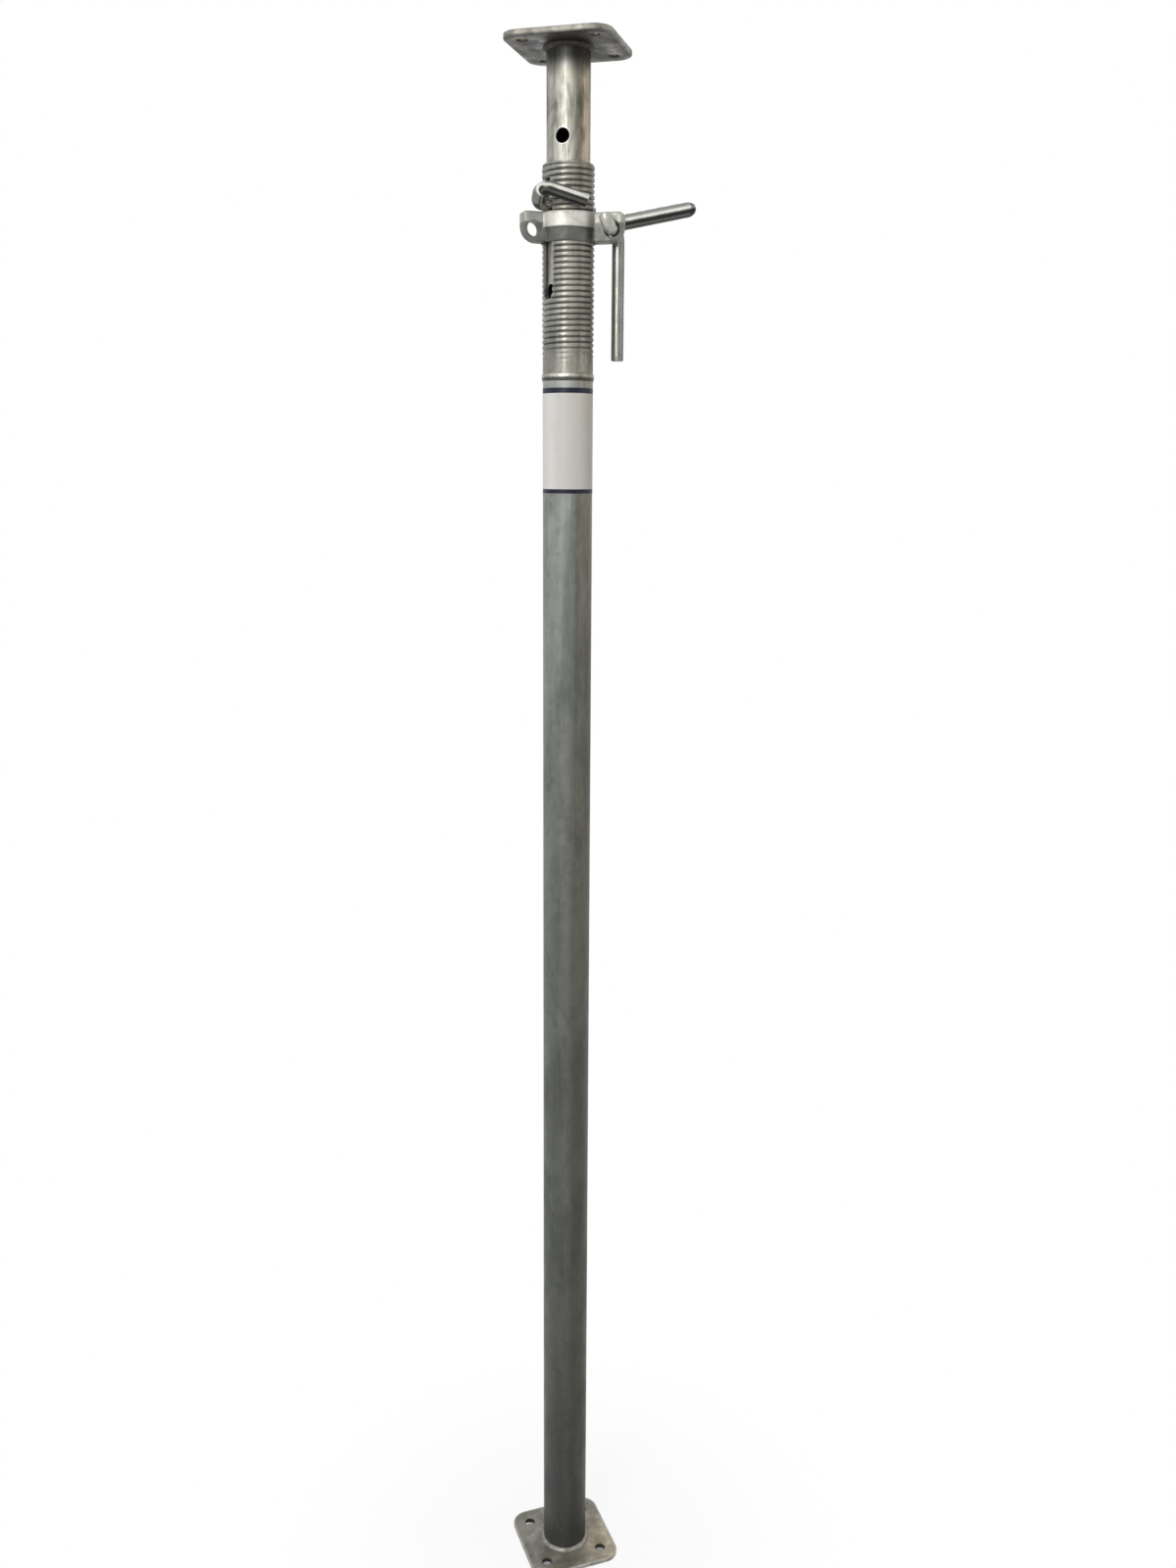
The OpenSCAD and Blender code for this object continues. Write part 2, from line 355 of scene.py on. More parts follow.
def prism(outline: Array, way: Array, inset: Array, depth: Array) -> Array:
    """Carry an outline through a thickness with rounded edges.

    Column j holds the outline moved inwards by inset_j along its outward directions,
    at depth_j across the thickness.

    Args:
        outline: Pairs that go round the shape.
        way: Outward direction at each point.
        inset: Distance inwards of each column.
        depth: Place of each column across the thickness.

    Returns:
        Grid whose last axis holds the two outline values and the depth.
    """
    flat = outline[:, None, :] - inset[None, :, None] * way[:, None, :]
    deep = np.broadcast_to(depth[None, :, None], (*flat.shape[:2], 1))
    return np.concatenate([flat, deep], -1)


def round_edge(thickness: float, radius: float, steps: int = 5) -> tuple[Array, Array]:
    """Insets and depths of a slab whose two edges are quarter circles.

    At angle t the lower edge lies radius (1 - sin t) in and radius (1 - cos t) up.

    Args:
        thickness: Thickness of the slab.
        radius: Radius of the edges.
        steps: Points on each quarter circle.

    Returns:
        The insets and the depths, as prism() takes them.
    """
    t = np.linspace(0.0, math.pi / 2.0, steps)
    inset, rise = radius * (1.0 - np.sin(t)), radius * (1.0 - np.cos(t))
    return np.concatenate([inset, inset[::-1]]), np.concatenate([rise, thickness - rise[::-1]])


def settle(piece: bpy.types.Object) -> None:
    """Make what a piece's modifiers give its own mesh.

    Args:
        piece: The piece, which has no modifiers afterwards.
    """
    graph = bpy.context.evaluated_depsgraph_get()
    mesh = bpy.data.meshes.new_from_object(
        piece.evaluated_get(graph), preserve_all_data_layers=True, depsgraph=graph
    )
    old = piece.data
    piece.modifiers.clear()
    piece.data = mesh
    bpy.data.meshes.remove(old)


def combine(piece: bpy.types.Object, other: bpy.types.Object, way: str) -> None:
    """Cut another solid out of a piece, or join it on, and delete the other solid.

    Args:
        piece: The piece that is changed.
        other: A closed solid.
        way: DIFFERENCE or UNION.
    """
    step = piece.modifiers.new("combine", "BOOLEAN")
    step.operation = way
    step.solver = "EXACT"
    step.object = other
    settle(piece)
    mesh = other.data
    bpy.data.objects.remove(other)
    bpy.data.meshes.remove(mesh)


def gather(name: str, pieces: Sequence[bpy.types.Object]) -> bpy.types.Object:
    """Put several separate closed solids into one object, for one cut.

    Args:
        name: Name of the object.
        pieces: The solids, which are deleted.

    Returns:
        The object.
    """
    shell = bmesh.new()
    for piece in pieces:
        shell.from_mesh(piece.data)
        bpy.data.objects.remove(piece)
    mesh = bpy.data.meshes.new(name)
    shell.to_mesh(mesh)
    shell.free()
    return placed(name, mesh)


def drill(
    radius: float, half: float, flare: float = 0.0, reach: float = 0.0, sides: int = 64
) -> Array:
    """Profile of a drill along Z that opens out where it leaves a wall.

    The radius is r up to reach below each face and grows by flare along a quarter
    circle up to the face; beyond the face it keeps that radius.

    Args:
        radius: Radius of the hole.
        half: Half the thickness that is drilled.
        flare: How far the mouth opens.
        reach: How deep the opening out goes.
        sides: Steps round the hole.

    Returns:
        Grid of the drill's surface.
    """
    past = half + 4.0
    t = np.linspace(0.0, math.pi / 2.0, 6)
    mouth_r = radius + flare * (1.0 - np.cos(t))
    mouth_z = half - reach + reach * np.sin(t)
    r = np.concatenate([[mouth_r[-1]], mouth_r[::-1], mouth_r, [mouth_r[-1]]])
    z = np.concatenate([[-past], -mouth_z[::-1], mouth_z, [past]])
    return lathe(np.stack([r, z], -1), sides)


# ---- finishes ---------------------------------------------------------------------
MIX_SHARE, MIX_BELOW, MIX_ABOVE, MIX_RESULT = 0, 6, 7, 2  # places of a colour mix's sockets
CRYSTALS = 150.0  # crystals for each metre
CRYSTAL_STRETCH = (1.0, 1.0, 0.7)
STREAK_STRETCH = (1.0, 1.0, 0.035)
SCRATCH_STRETCH = (1.0, 1.0, 0.06)
SCRATCH_SHIFT = (3.1, 1.7, 0.4)

# Colours that lie over the zinc's own clouds.
LIGHT_STREAK: RGB = (0.86, 0.86, 0.83)
DARK_STREAK: RGB = (0.04, 0.04, 0.035)
STAIN: RGB = (0.27, 0.23, 0.16)
SCRATCH: RGB = (0.9, 0.9, 0.87)
SPECK: RGB = (0.05, 0.045, 0.035)
RUBBED: RGB = (0.84, 0.84, 0.81)
# painted shade in the mouths of holes
HOLE_SHADE: RGB = (0.035, 0.033, 0.028)
OUTLINE: RGB = (0.62, 0.61, 0.57)
# painted shade in inner corners
CREASE_SHADE: RGB = (0.045, 0.042, 0.034)
LIP: RGB = (0.8, 0.8, 0.76)


class Graph:
    """The node tree of a material or of the surroundings, put together call by call."""

    def __init__(self, owner: bpy.types.Material | bpy.types.World) -> None:
        """Empty the owner's tree.

        Args:
            owner: What the tree belongs to.
        """
        owner.use_nodes = True
        self.tree = owner.node_tree
        self.tree.nodes.clear()

    def fill(self, node: bpy.types.Node, inputs: Mapping[str | int, object]) -> bpy.types.Node:
        """Set or link a node's inputs.

        Args:
            node: The node.
            inputs: A value or a socket for each name or place of an input.

        Returns:
            The node.
        """
        for key, value in inputs.items():
            if isinstance(value, bpy.types.NodeSocket):
                self.tree.links.new(value, node.inputs[key])
            elif node.inputs[key].type == "RGBA":
                node.inputs[key].default_value = (*value, 1.0)
            else:
                node.inputs[key].default_value = value
        return node

    def add(self, kind: str, inputs: Mapping[str | int, object] | None = None) -> bpy.types.Node:
        """Add a node of a kind, and set or link its inputs."""
        return self.fill(self.tree.nodes.new(kind), inputs or {})

    def math(self, kind: str, a: Value, b: Value = 0.0, clamp: bool = False) -> Socket:
        """One step of arithmetic.

        Args:
            kind: Name of the step.
            a: First value.
            b: Second value, for steps that have one.
            clamp: True where the result is held between 0 and 1.

        Returns:
            The result.
        """
        node = self.add("ShaderNodeMath", {0: a, 1: b})
        node.operation = kind
        node.use_clamp = clamp
        return node.outputs[0]

    def plus(self, a: Value, b: Value) -> Socket:
        """The sum a + b."""
        return self.math("ADD", a, b)

    def minus(self, a: Value, b: Value) -> Socket:
        """The difference a - b."""
        return self.math("SUBTRACT", a, b)

    def times(self, a: Value, b: Value) -> Socket:
        """The product a b."""
        return self.math("MULTIPLY", a, b)

    def larger(self, a: Value, b: Value) -> Socket:
        """The larger of a and b."""
        return self.math("MAXIMUM", a, b)

    def root(self, a: Value, b: Value) -> Socket:
        """The length of (a, b), the root of a a + b b."""
        return self.math("SQRT", self.plus(self.times(a, a), self.times(b, b)))

    def mix_value(self, share: Value, a: Value, b: Value) -> Socket:
        """The value a + share (b - a)."""
        return self.plus(a, self.times(share, self.minus(b, a)))

    def wander(self, value: Value, cloud: Socket, amount: float) -> Socket:
        """A value whose borders wander: value + amount (cloud - 0.5)."""
        return self.plus(value, self.times(self.minus(cloud, 0.5), amount))

    def band(
        self,
        value: Socket,
        low: float,
        high: float,
        to_low: Value = 0.0,
        to_high: Value = 1.0,
        eased: bool = True,
    ) -> Socket:
        """Spread low..high over to_low..to_high, and hold the value at both ends.

        Args:
            value: The value.
            low: Where the change begins.
            high: Where the change ends.
            to_low: Result up to low.
            to_high: Result from high on.
            eased: True for eased ends, and False for a straight change.

        Returns:
            The result.
        """
        ends = {"From Min": low, "From Max": high, "To Min": to_low, "To Max": to_high}
        node = self.add("ShaderNodeMapRange", {"Value": value, **ends})
        node.interpolation_type = "SMOOTHSTEP" if eased else "LINEAR"
        return node.outputs["Result"]

    def span(
        self, value: Socket, low: float, high: float, to_low: Value = 0.0, to_high: Value = 1.0
    ) -> Socket:
        """The band() of a length, between two lengths in millimetres."""
        return self.band(value, low * MM, high * MM, to_low, to_high)

    def attribute(self, name: str) -> Socket:
        """A value that the mesh carries.

        Args:
            name: Name of the mesh's attribute.

        Returns:
            The value.
        """
        node = self.add("ShaderNodeAttribute")
        node.attribute_name = name
        return node.outputs["Fac"]


class Nodes(Graph):
    """A material with one shader, and the patterns that its finish is made of."""

    def __init__(self, name: str) -> None:
        """Start a material whose tree holds a shader and its output.

        Args:
            name: Name of the material.
        """
        self.material = bpy.data.materials.new(name)
        super().__init__(self.material)
        self.shader = self.add("ShaderNodeBsdfPrincipled")
        self.add("ShaderNodeOutputMaterial", {"Surface": self.shader.outputs["BSDF"]})
        self.where = self.place()

    def place(self, scale: Point = (1.0, 1.0, 1.0), shift: Point = (0.0, 0.0, 0.0)) -> Socket:
        """Object coordinates, in metres, that a pattern is laid out on.

        Args:
            scale: Factors of X, Y and Z; below 1 the pattern is drawn out.
            shift: Distances in metres that are added afterwards.

        Returns:
            The coordinates times the scale plus the shift.
        """
        source = self.add("ShaderNodeTexCoord").outputs["Object"]
        inputs = {"Vector": source, "Scale": scale, "Location": shift}
        return self.add("ShaderNodeMapping", inputs).outputs["Vector"]

    def split(self, where: Socket) -> tuple[Socket, Socket, Socket]:
        """The x, y and z of a vector."""
        x, y, z = self.add("ShaderNodeSeparateXYZ", {0: where}).outputs
        return x, y, z

    def plan(self, degrees: float) -> tuple[Socket, Socket]:
        """Distances in the plan along a direction a and across it.

        Along it the distance is x cos a + y sin a, and across it y cos a - x sin a.

        Args:
            degrees: The direction a.

        Returns:
            The two distances in metres.
        """
        x, y, _ = self.split(self.where)
        c, s = math.cos(math.radians(degrees)), math.sin(math.radians(degrees))
        along = self.plus(self.times(x, c), self.times(y, s))
        return along, self.minus(self.times(y, c), self.times(x, s))

    def reach(self, where: Socket | None = None) -> Socket:
        """Distance to the Z axis of the object, or to that of given coordinates."""
        x, y, _ = self.split(self.where if where is None else where)
        return self.root(x, y)

    def height(self) -> Socket:
        """Height in metres."""
        return self.split(self.where)[2]

    def noise(
        self,
        where: Socket,
        scale: float,
        detail: float = 4.0,
        rough: float = 0.55,
        twist: float = 0.0,
    ) -> Socket:
        """Cloudy noise, about 0.2 to 0.8.

        Args:
            where: Coordinates in metres.
            scale: Clouds for each metre.
            detail: How many finer layers lie over the clouds.
            rough: Strength of the finer layers.
            twist: How far the clouds are drawn about.

        Returns:
            The noise.
        """
        shape = {"Scale": scale, "Detail": detail, "Roughness": rough, "Distortion": twist}
        return self.add("ShaderNodeTexNoise", {"Vector": where, **shape}).outputs["Fac"]

    def cells(
        self, where: Socket, scale: float, output: str = "Distance", edge: bool = False
    ) -> Socket:
        """Crystal cells.

        Args:
            where: Coordinates in metres.
            scale: Cells for each metre.
            output: Color for their random colour, or Distance.
            edge: True for the distance to their edge, and False for that to their middle.

        Returns:
            The colour or the distance.
        """
        node = self.add("ShaderNodeTexVoronoi")
        node.feature = "DISTANCE_TO_EDGE" if edge else "F1"
        return self.fill(node, {"Vector": where, "Scale": scale}).outputs[output]

    def mix(self, share: Value, a: Socket | RGB, b: Socket | RGB, blend: str = "MIX") -> Socket:
        """Blend colour b over colour a.

        Args:
            share: How much of b is seen.
            a: The colour below.
            b: The colour above.
            blend: How the two are blended.

        Returns:
            The colour.
        """
        node = self.add("ShaderNodeMix")
        node.data_type = "RGBA"
        node.blend_type = blend
        node.clamp_result = True
        inputs = {MIX_SHARE: share, MIX_BELOW: a, MIX_ABOVE: b}
        return self.fill(node, inputs).outputs[MIX_RESULT]

    def grey(self, value: Socket) -> Socket:
        """A value as a grey colour."""
        return self.add("ShaderNodeCombineColor", {0: value, 1: value, 2: value}).outputs[0]

    def ramp(self, share: Socket, stops: Sequence[tuple[float, RGB]]) -> Socket:
        """Colours that follow each other with eased steps.

        Args:
            share: Place from 0 to 1.
            stops: Rising places and the colours there.

        Returns:
            The colour.
        """
        node = self.add("ShaderNodeValToRGB", {0: share})
        node.color_ramp.interpolation = "EASE"
        marks = node.color_ramp.elements
        while len(marks) < len(stops):
            marks.new(1.0)
        for mark, (place, tone) in zip(marks, stops):
            mark.position = place
            mark.color = (*tone, 1.0)
        return node.outputs["Color"]

    def ring(self, cloud: Socket, around: Sequence[tuple[float, RGB]]) -> Socket:
        """Painted light and shade round the Z axis: a factor of the colour from a ramp over the
        direction in the plan.

        The direction is atan2(across, along), counted to the right from FRONT. A little
        of the clouds is added, so that the borders wander.

        Args:
            cloud: Cloudy noise.
            around: Pairs of direction in degrees and factor, in rising order.

        Returns:
            The factor as a colour.
        """
        along, across = self.plan(FRONT)
        turn = self.math("DIVIDE", self.math("ARCTAN2", across, along), TAU)
        share = self.wander(self.plus(turn, 0.5), cloud, 0.07)
        return self.ramp(share, [(degrees / 360.0 + 0.5, tone) for degrees, tone in around])

    def bump(
        self, height: Socket, strength: float, depth: float, under: Socket | None = None
    ) -> Socket:
        """Relief from a height.

        Args:
            height: The height.
            strength: Strength of the relief.
            depth: Height in metres that the value 1 stands for.
            under: Another relief that this one lies over.

        Returns:
            The relief.
        """
        relief = {"Height": height, "Strength": strength, "Distance": depth}
        if under is not None:
            relief["Normal"] = under
        return self.add("ShaderNodeBump", relief).outputs["Normal"]

    def convex(self) -> Socket:
        """About 0.5 on flat ground, more on outer edges."""
        return self.add("ShaderNodeNewGeometry").outputs["Pointiness"]


@dataclass(frozen=True)
class Lip:
    """A hole or slot whose rubbed edge shows as a lighter rim.

    Attributes:
        middle: A point on the hole's axis, in millimetres.
        turn: Direction of the axis in the plan, in degrees.
        radius: Radius of the hole.
        length: Distance between the two end circles of an upright slot.
        width: Width of the rim.
        light: How bright the rim is rubbed.
    """

    middle: Point
    turn: float
    radius: float
    length: float = 0.0
    width: float = 1.6
    light: float = 0.7

    def near(self, n: Nodes) -> Socket:
        """How near a point is to the hole's edge, from the distance to its axis.

        The distance across the hole is d = |y'| in the turned plan and h = the height
        above the middle held to half the slot's length, so r = sqrt(d d + (z - h)(z - h)).

        Args:
            n: The material.

        Returns:
            1 at the edge, easing to 0 over the rim's width.
        """
        a = math.radians(self.turn)
        offset = (self.middle[1] * math.cos(a) - self.middle[0] * math.sin(a)) * MM
        side = n.minus(n.plan(self.turn)[1], offset)
        rise = n.math("ABSOLUTE", n.minus(n.height(), self.middle[2] * MM))
        over = n.larger(n.minus(rise, self.length * MM / 2.0), 0.0)
        return n.span(n.root(side, over), self.radius, self.radius + self.width, 1.0, 0.0)


@dataclass(frozen=True)
class Zinc:
    """Hot-dip or plated zinc on steel.

    Attributes:
        name: Name of the material.
        light: Colour of the lighter clouds.
        dark: Colour of the darker clouds.
        metallic: How metallic the skin is.
        smooth: Lowest roughness.
        rough: Highest roughness.
        cloud: Size of the clouds, as noise scale per metre.
        stretch: How the clouds and streaks are drawn out along X, Y and Z.
        streak: Strength of the long streaks.
        spangle: Strength of the crystal cells.
        grain: Relief of the fine grain.
        lump: Relief of the runs and lumps.
        wear: How bright outer edges are rubbed.
        fade: Heights in metres and factors of the colour there: painted shade that darkens the
            piece along its height.
        bands: Values of the shade attribute, rising from -1 to 1, and the factors of the
        colour there: painted highlight and painted shade that run along a rod as lines.
        scratch: Strength of the fine bright scratches.
        stain: Strength of the warm stains.
        lips: Holes with a rubbed rim.
        step_at: Height in millimetres below which the piece is darker, painted shade.
        step_tone: Factor of the colour below that height.
        around: Directions in degrees, counted to the right from FRONT, and the factors of
        the colour there: painted light and shade round the piece.
        bore: Two distances from the Z axis in millimetres and the factor nearer than them,
        on a plate only below its step: painted shade in a bore, or round a tube under a plate.
        groove: Factor of the colour where the shade attribute is low: painted shade in grooves.
        crease_shade: How dark the painted shade in inner corners is.
        beyond: Two distances from the Z axis in millimetres and the factor outside them, painted
            shade.
        crown: Two heights in millimetres and the factor outside those distances above them, painted
            light.
        facing: A direction in the plan in degrees, the cosines to it at which a change
        begins and ends, and the factor of the colour on the side turned away, painted shade.
        rings: X, Y and radius in millimetres of upright holes with a ring of painted shade round
            them.
        plate_rim: Turn in degrees, side and corner radius in millimetres of a square plate,
            and how bright the line along its outline is rubbed.
    """

    name: str
    light: RGB
    dark: RGB
    metallic: float = 0.5
    smooth: float = 0.38
    rough: float = 0.6
    cloud: float = 22.0
    stretch: Point = (1.0, 1.0, 0.55)
    streak: float = 0.15
    spangle: float = 0.12
    grain: float = 0.25
    lump: float = 0.25
    wear: float = 0.3
    fade: tuple[tuple[float, float], ...] = ()
    bands: tuple[tuple[float, float], ...] = ()
    scratch: float = 0.15
    stain: float = 0.1
    lips: tuple[Lip, ...] = ()
    step_at: float | None = None
    step_tone: float = 1.0
    around: tuple[tuple[float, RGB], ...] = ()
    bore: tuple[float, float, float] | None = None
    groove: float = 1.0
    crease_shade: float = 0.0
    beyond: tuple[float, float, float] | None = None
    crown: tuple[float, float, float] | None = None
    facing: tuple[float, float, float, float] | None = None
    rings: tuple[tuple[float, float, float], ...] = ()
    plate_rim: tuple[float, float, float, float] | None = None

    def build(self) -> bpy.types.Material:
        """Make the material from its skin, tones, marks, gloss and relief.

        Returns:
            The material.
        """
        n = Nodes(self.name)
        drawn = n.place(self.stretch)
        cloud = n.noise(drawn, self.cloud, detail=6.0, rough=0.62, twist=0.7)
        colour = self.skin(n, cloud)
        for tone in self.tones(n, cloud):
            colour = n.mix(1.0, colour, tone, "MULTIPLY")
        colour = self.marks(n, cloud, colour)
        gloss = n.noise(drawn, self.cloud * 2.3, rough=0.6)
        inputs = {
            "Base Color": colour,
            "Metallic": self.metallic,
            "Roughness": n.band(gloss, 0.3, 0.7, self.smooth, self.rough),
            "Normal": self.relief(n),
        }
        n.fill(n.shader, inputs)
        return n.material

    def skin(self, n: Nodes, cloud: Socket) -> Socket:
        """Clouds, crystals, streaks, stains, scratches, specks and rubbed edges.

        Args:
            n: The material.
            cloud: Cloudy noise.

        Returns:
            The colour.
        """
        colour = n.mix(n.band(cloud, 0.36, 0.64), self.dark, self.light)
        crystal = n.split(n.cells(n.place(CRYSTAL_STRETCH), CRYSTALS, "Color"))[0]
        colour = n.mix(self.spangle, colour, n.grey(crystal), "SOFT_LIGHT")
        long = n.noise(n.place(STREAK_STRETCH), 210.0, detail=3.0, rough=0.6)
        colour = n.mix(n.band(long, 0.5, 0.72, 0.0, self.streak), colour, LIGHT_STREAK)
        colour = n.mix(n.band(long, 0.34, 0.5, self.streak * 0.8, 0.0), colour, DARK_STREAK)
        patch = n.noise(n.where, 9.0, detail=5.0, rough=0.5, twist=1.2)
        colour = n.mix(n.band(patch, 0.54, 0.68, 0.0, self.stain), colour, STAIN)
        hair = n.place(SCRATCH_STRETCH, SCRATCH_SHIFT)
        hair = n.noise(hair, 620.0, detail=2.0, rough=0.5, twist=0.4)
        colour = n.mix(n.band(hair, 0.66, 0.74, 0.0, self.scratch), colour, SCRATCH)
        speck = n.band(n.cells(n.where, 260.0), 0.05, 0.16, 1.0, 0.0)
        specks = n.times(speck, n.band(patch, 0.46, 0.6))
        colour = n.mix(n.times(specks, 0.45), colour, SPECK)
        worn = n.times(n.band(n.convex(), 0.515, 0.6), n.band(cloud, 0.3, 0.6, 0.45, 1.0))
        return n.mix(n.times(worn, self.wear), colour, RUBBED)

    def tones(self, n: Nodes, cloud: Socket) -> Iterator[Socket]:
        """Factors of the colour that lie over the whole piece: painted light and shade.

        Args:
            n: The material.
            cloud: Cloudy noise.

        Yields:
            Each factor as a colour, in the order in which they are laid on.
        """
        if self.step_at is not None:
            # painted shade below the step
            yield n.grey(self.outside(n, self.above(n, self.step_tone)))
        if self.fade:
            # painted shade along the height
            yield n.grey(self.painted_height_shade(n))
        if self.around:
            # painted light and shade round the axis
            yield n.ring(cloud, self.around)
        if self.facing is not None:
            # painted shade on the side turned away
            yield n.grey(self.outside(n, self.turned(n)))
        if self.beyond is not None:
            # painted shade further from the axis, painted light on the crown
            yield n.grey(self.spread(n))
        if self.bore is not None:
            # painted shade in a bore, or round a tube under a plate
            inside = n.span(n.reach(), self.bore[0], self.bore[1], self.bore[2], 1.0)
            if self.step_at is not None:
                inside = n.larger(inside, self.above(n))
            yield n.grey(inside)
        if self.groove < 1.0:
            # painted shade in the grooves
            yield n.grey(n.band(n.attribute("shade"), 0.02, 0.6, self.groove, 1.0))

    def marks(self, n: Nodes, cloud: Socket, colour: Socket) -> Socket:
        """Painted shade rings round holes, rubbed rims of holes, the rubbed outline, painted shade
        in inner corners, and the painted highlight and shade lines along a rod.

        Args:
            n: The material.
            cloud: Cloudy noise.
            colour: The colour below.

        Returns:
            The colour with the marks on it.
        """
        for x, y, radius in self.rings:
            away = n.reach(n.place(shift=(-x * MM, -y * MM, 0.0)))
            # painted shade ring round each hole
            colour = n.mix(n.span(away, radius, radius + 1.7, 0.75, 0.0), colour, HOLE_SHADE)
        if self.plate_rim is not None:
            colour = n.mix(self.outline(n), colour, OUTLINE)
        if self.crease_shade > 0.0:
            # painted shade in inner corners
            colour = n.mix(n.band(n.convex(), 0.42, 0.49, self.crease_shade, 0.0), colour, CREASE_SHADE)
        if self.bands:
            # painted highlight and painted shade lines along a rod
            half = n.plus(n.times(n.attribute("shade"), 0.5), 0.5)
            stops = [(value * 0.5 + 0.5, (tone, tone, tone * 0.98)) for value, tone in self.bands]
            colour = n.mix(1.0, colour, n.ramp(n.wander(half, cloud, 0.06), stops), "MULTIPLY")
        for lip in self.lips:
            colour = n.mix(n.times(lip.near(n), lip.light), colour, LIP)
        return colour

    def relief(self, n: Nodes) -> Socket:
        """Lumps, the borders of the crystals and fine grain, one over the other.

        Args:
            n: The material.

        Returns:
            The relief.
        """
        lumps = n.noise(n.where, 34.0, detail=3.0, rough=0.5, twist=0.4)
        borders = n.cells(n.place(CRYSTAL_STRETCH), CRYSTALS, edge=True)
        relief = n.bump(lumps, self.lump, 0.0012)
        relief = n.bump(borders, self.grain * 0.35, 0.0002, relief)
        fine = n.noise(n.where, 900.0, detail=3.0, rough=0.7)
        return n.bump(fine, self.grain, 0.00025, relief)

    def above(self, n: Nodes, below: float = 0.0) -> Socket:
        """1 above the step, and a given value below it."""
        return n.span(n.height(), self.step_at - 0.7, self.step_at + 0.7, below, 1.0)

    def outside(self, n: Nodes, factor: Socket) -> Socket:
        """Hold a factor to the part nearer to the axis than beyond, where that is set.

        Args:
            n: The material.
            factor: Factor of the colour.

        Returns:
            The factor, which is 1 further out.
        """
        if self.beyond is None:
            return factor
        return n.larger(factor, n.span(n.reach(), self.beyond[0], self.beyond[1]))

    def spread(self, n: Nodes) -> Socket:
        """Factor of the colour by the distance from the Z axis, and by the crown's heights: painted
        shade further out, painted light on the crown.

        Args:
            n: The material.

        Returns:
            1 near the axis, and the factor of beyond or of the crown outside.
        """
        low, high, outer = self.beyond
        if self.crown is not None:
            base, top, tone = self.crown
            outer = n.span(n.height(), base, top, outer, tone)
        return n.mix_value(n.span(n.reach(), low, high), 1.0, outer)

    def turned(self, n: Nodes) -> Socket:
        """Factor of the colour by the cosine between a point's direction and a given one: painted
        shade on the side turned away.

        Args:
            n: The material.

        Returns:
            The factor, which is 1 on the side that faces the given direction.
        """
        degrees, low, high, tone = self.facing
        along, _ = n.plan(degrees)
        return n.band(n.math("DIVIDE", along, n.reach()), low, high, tone, 1.0)

    def painted_height_shade(self, n: Nodes) -> Socket:
        """Painted shade by height: eased steps between the fade's pairs, multiplied.

        Args:
            n: The material.

        Returns:
            The factor.
        """
        height = n.height()
        factor: Value = self.fade[-1][1]
        for (low, tone), (high, top) in zip(self.fade[:-1], self.fade[1:]):
            factor = n.times(factor, n.band(height, low, high, tone / top, 1.0))
        return factor

    def outline(self, n: Nodes) -> Socket:
        """How near a point is to the outline of a square plate with round corners.

        In the plate's own plan, with half side s and corner radius c, the distance inside
        the outline is c - |max(|p| - (s - c), 0)|.

        Args:
            n: The material.

        Returns:
            The strength of the rubbed line.
        """
        degrees, side, corner, strength = self.plate_rim
        flat = (side / 2.0 - corner) * MM
        ways = n.plan(degrees)
        u, v = (n.larger(n.minus(n.math("ABSOLUTE", way), flat), 0.0) for way in ways)
        worn = n.band(n.noise(n.where, 70.0, rough=0.6), 0.36, 0.6, 0.35, 1.0)
        return n.times(n.span(n.root(u, v), corner - 2.6, corner - 0.9, 0.0, strength), worn)


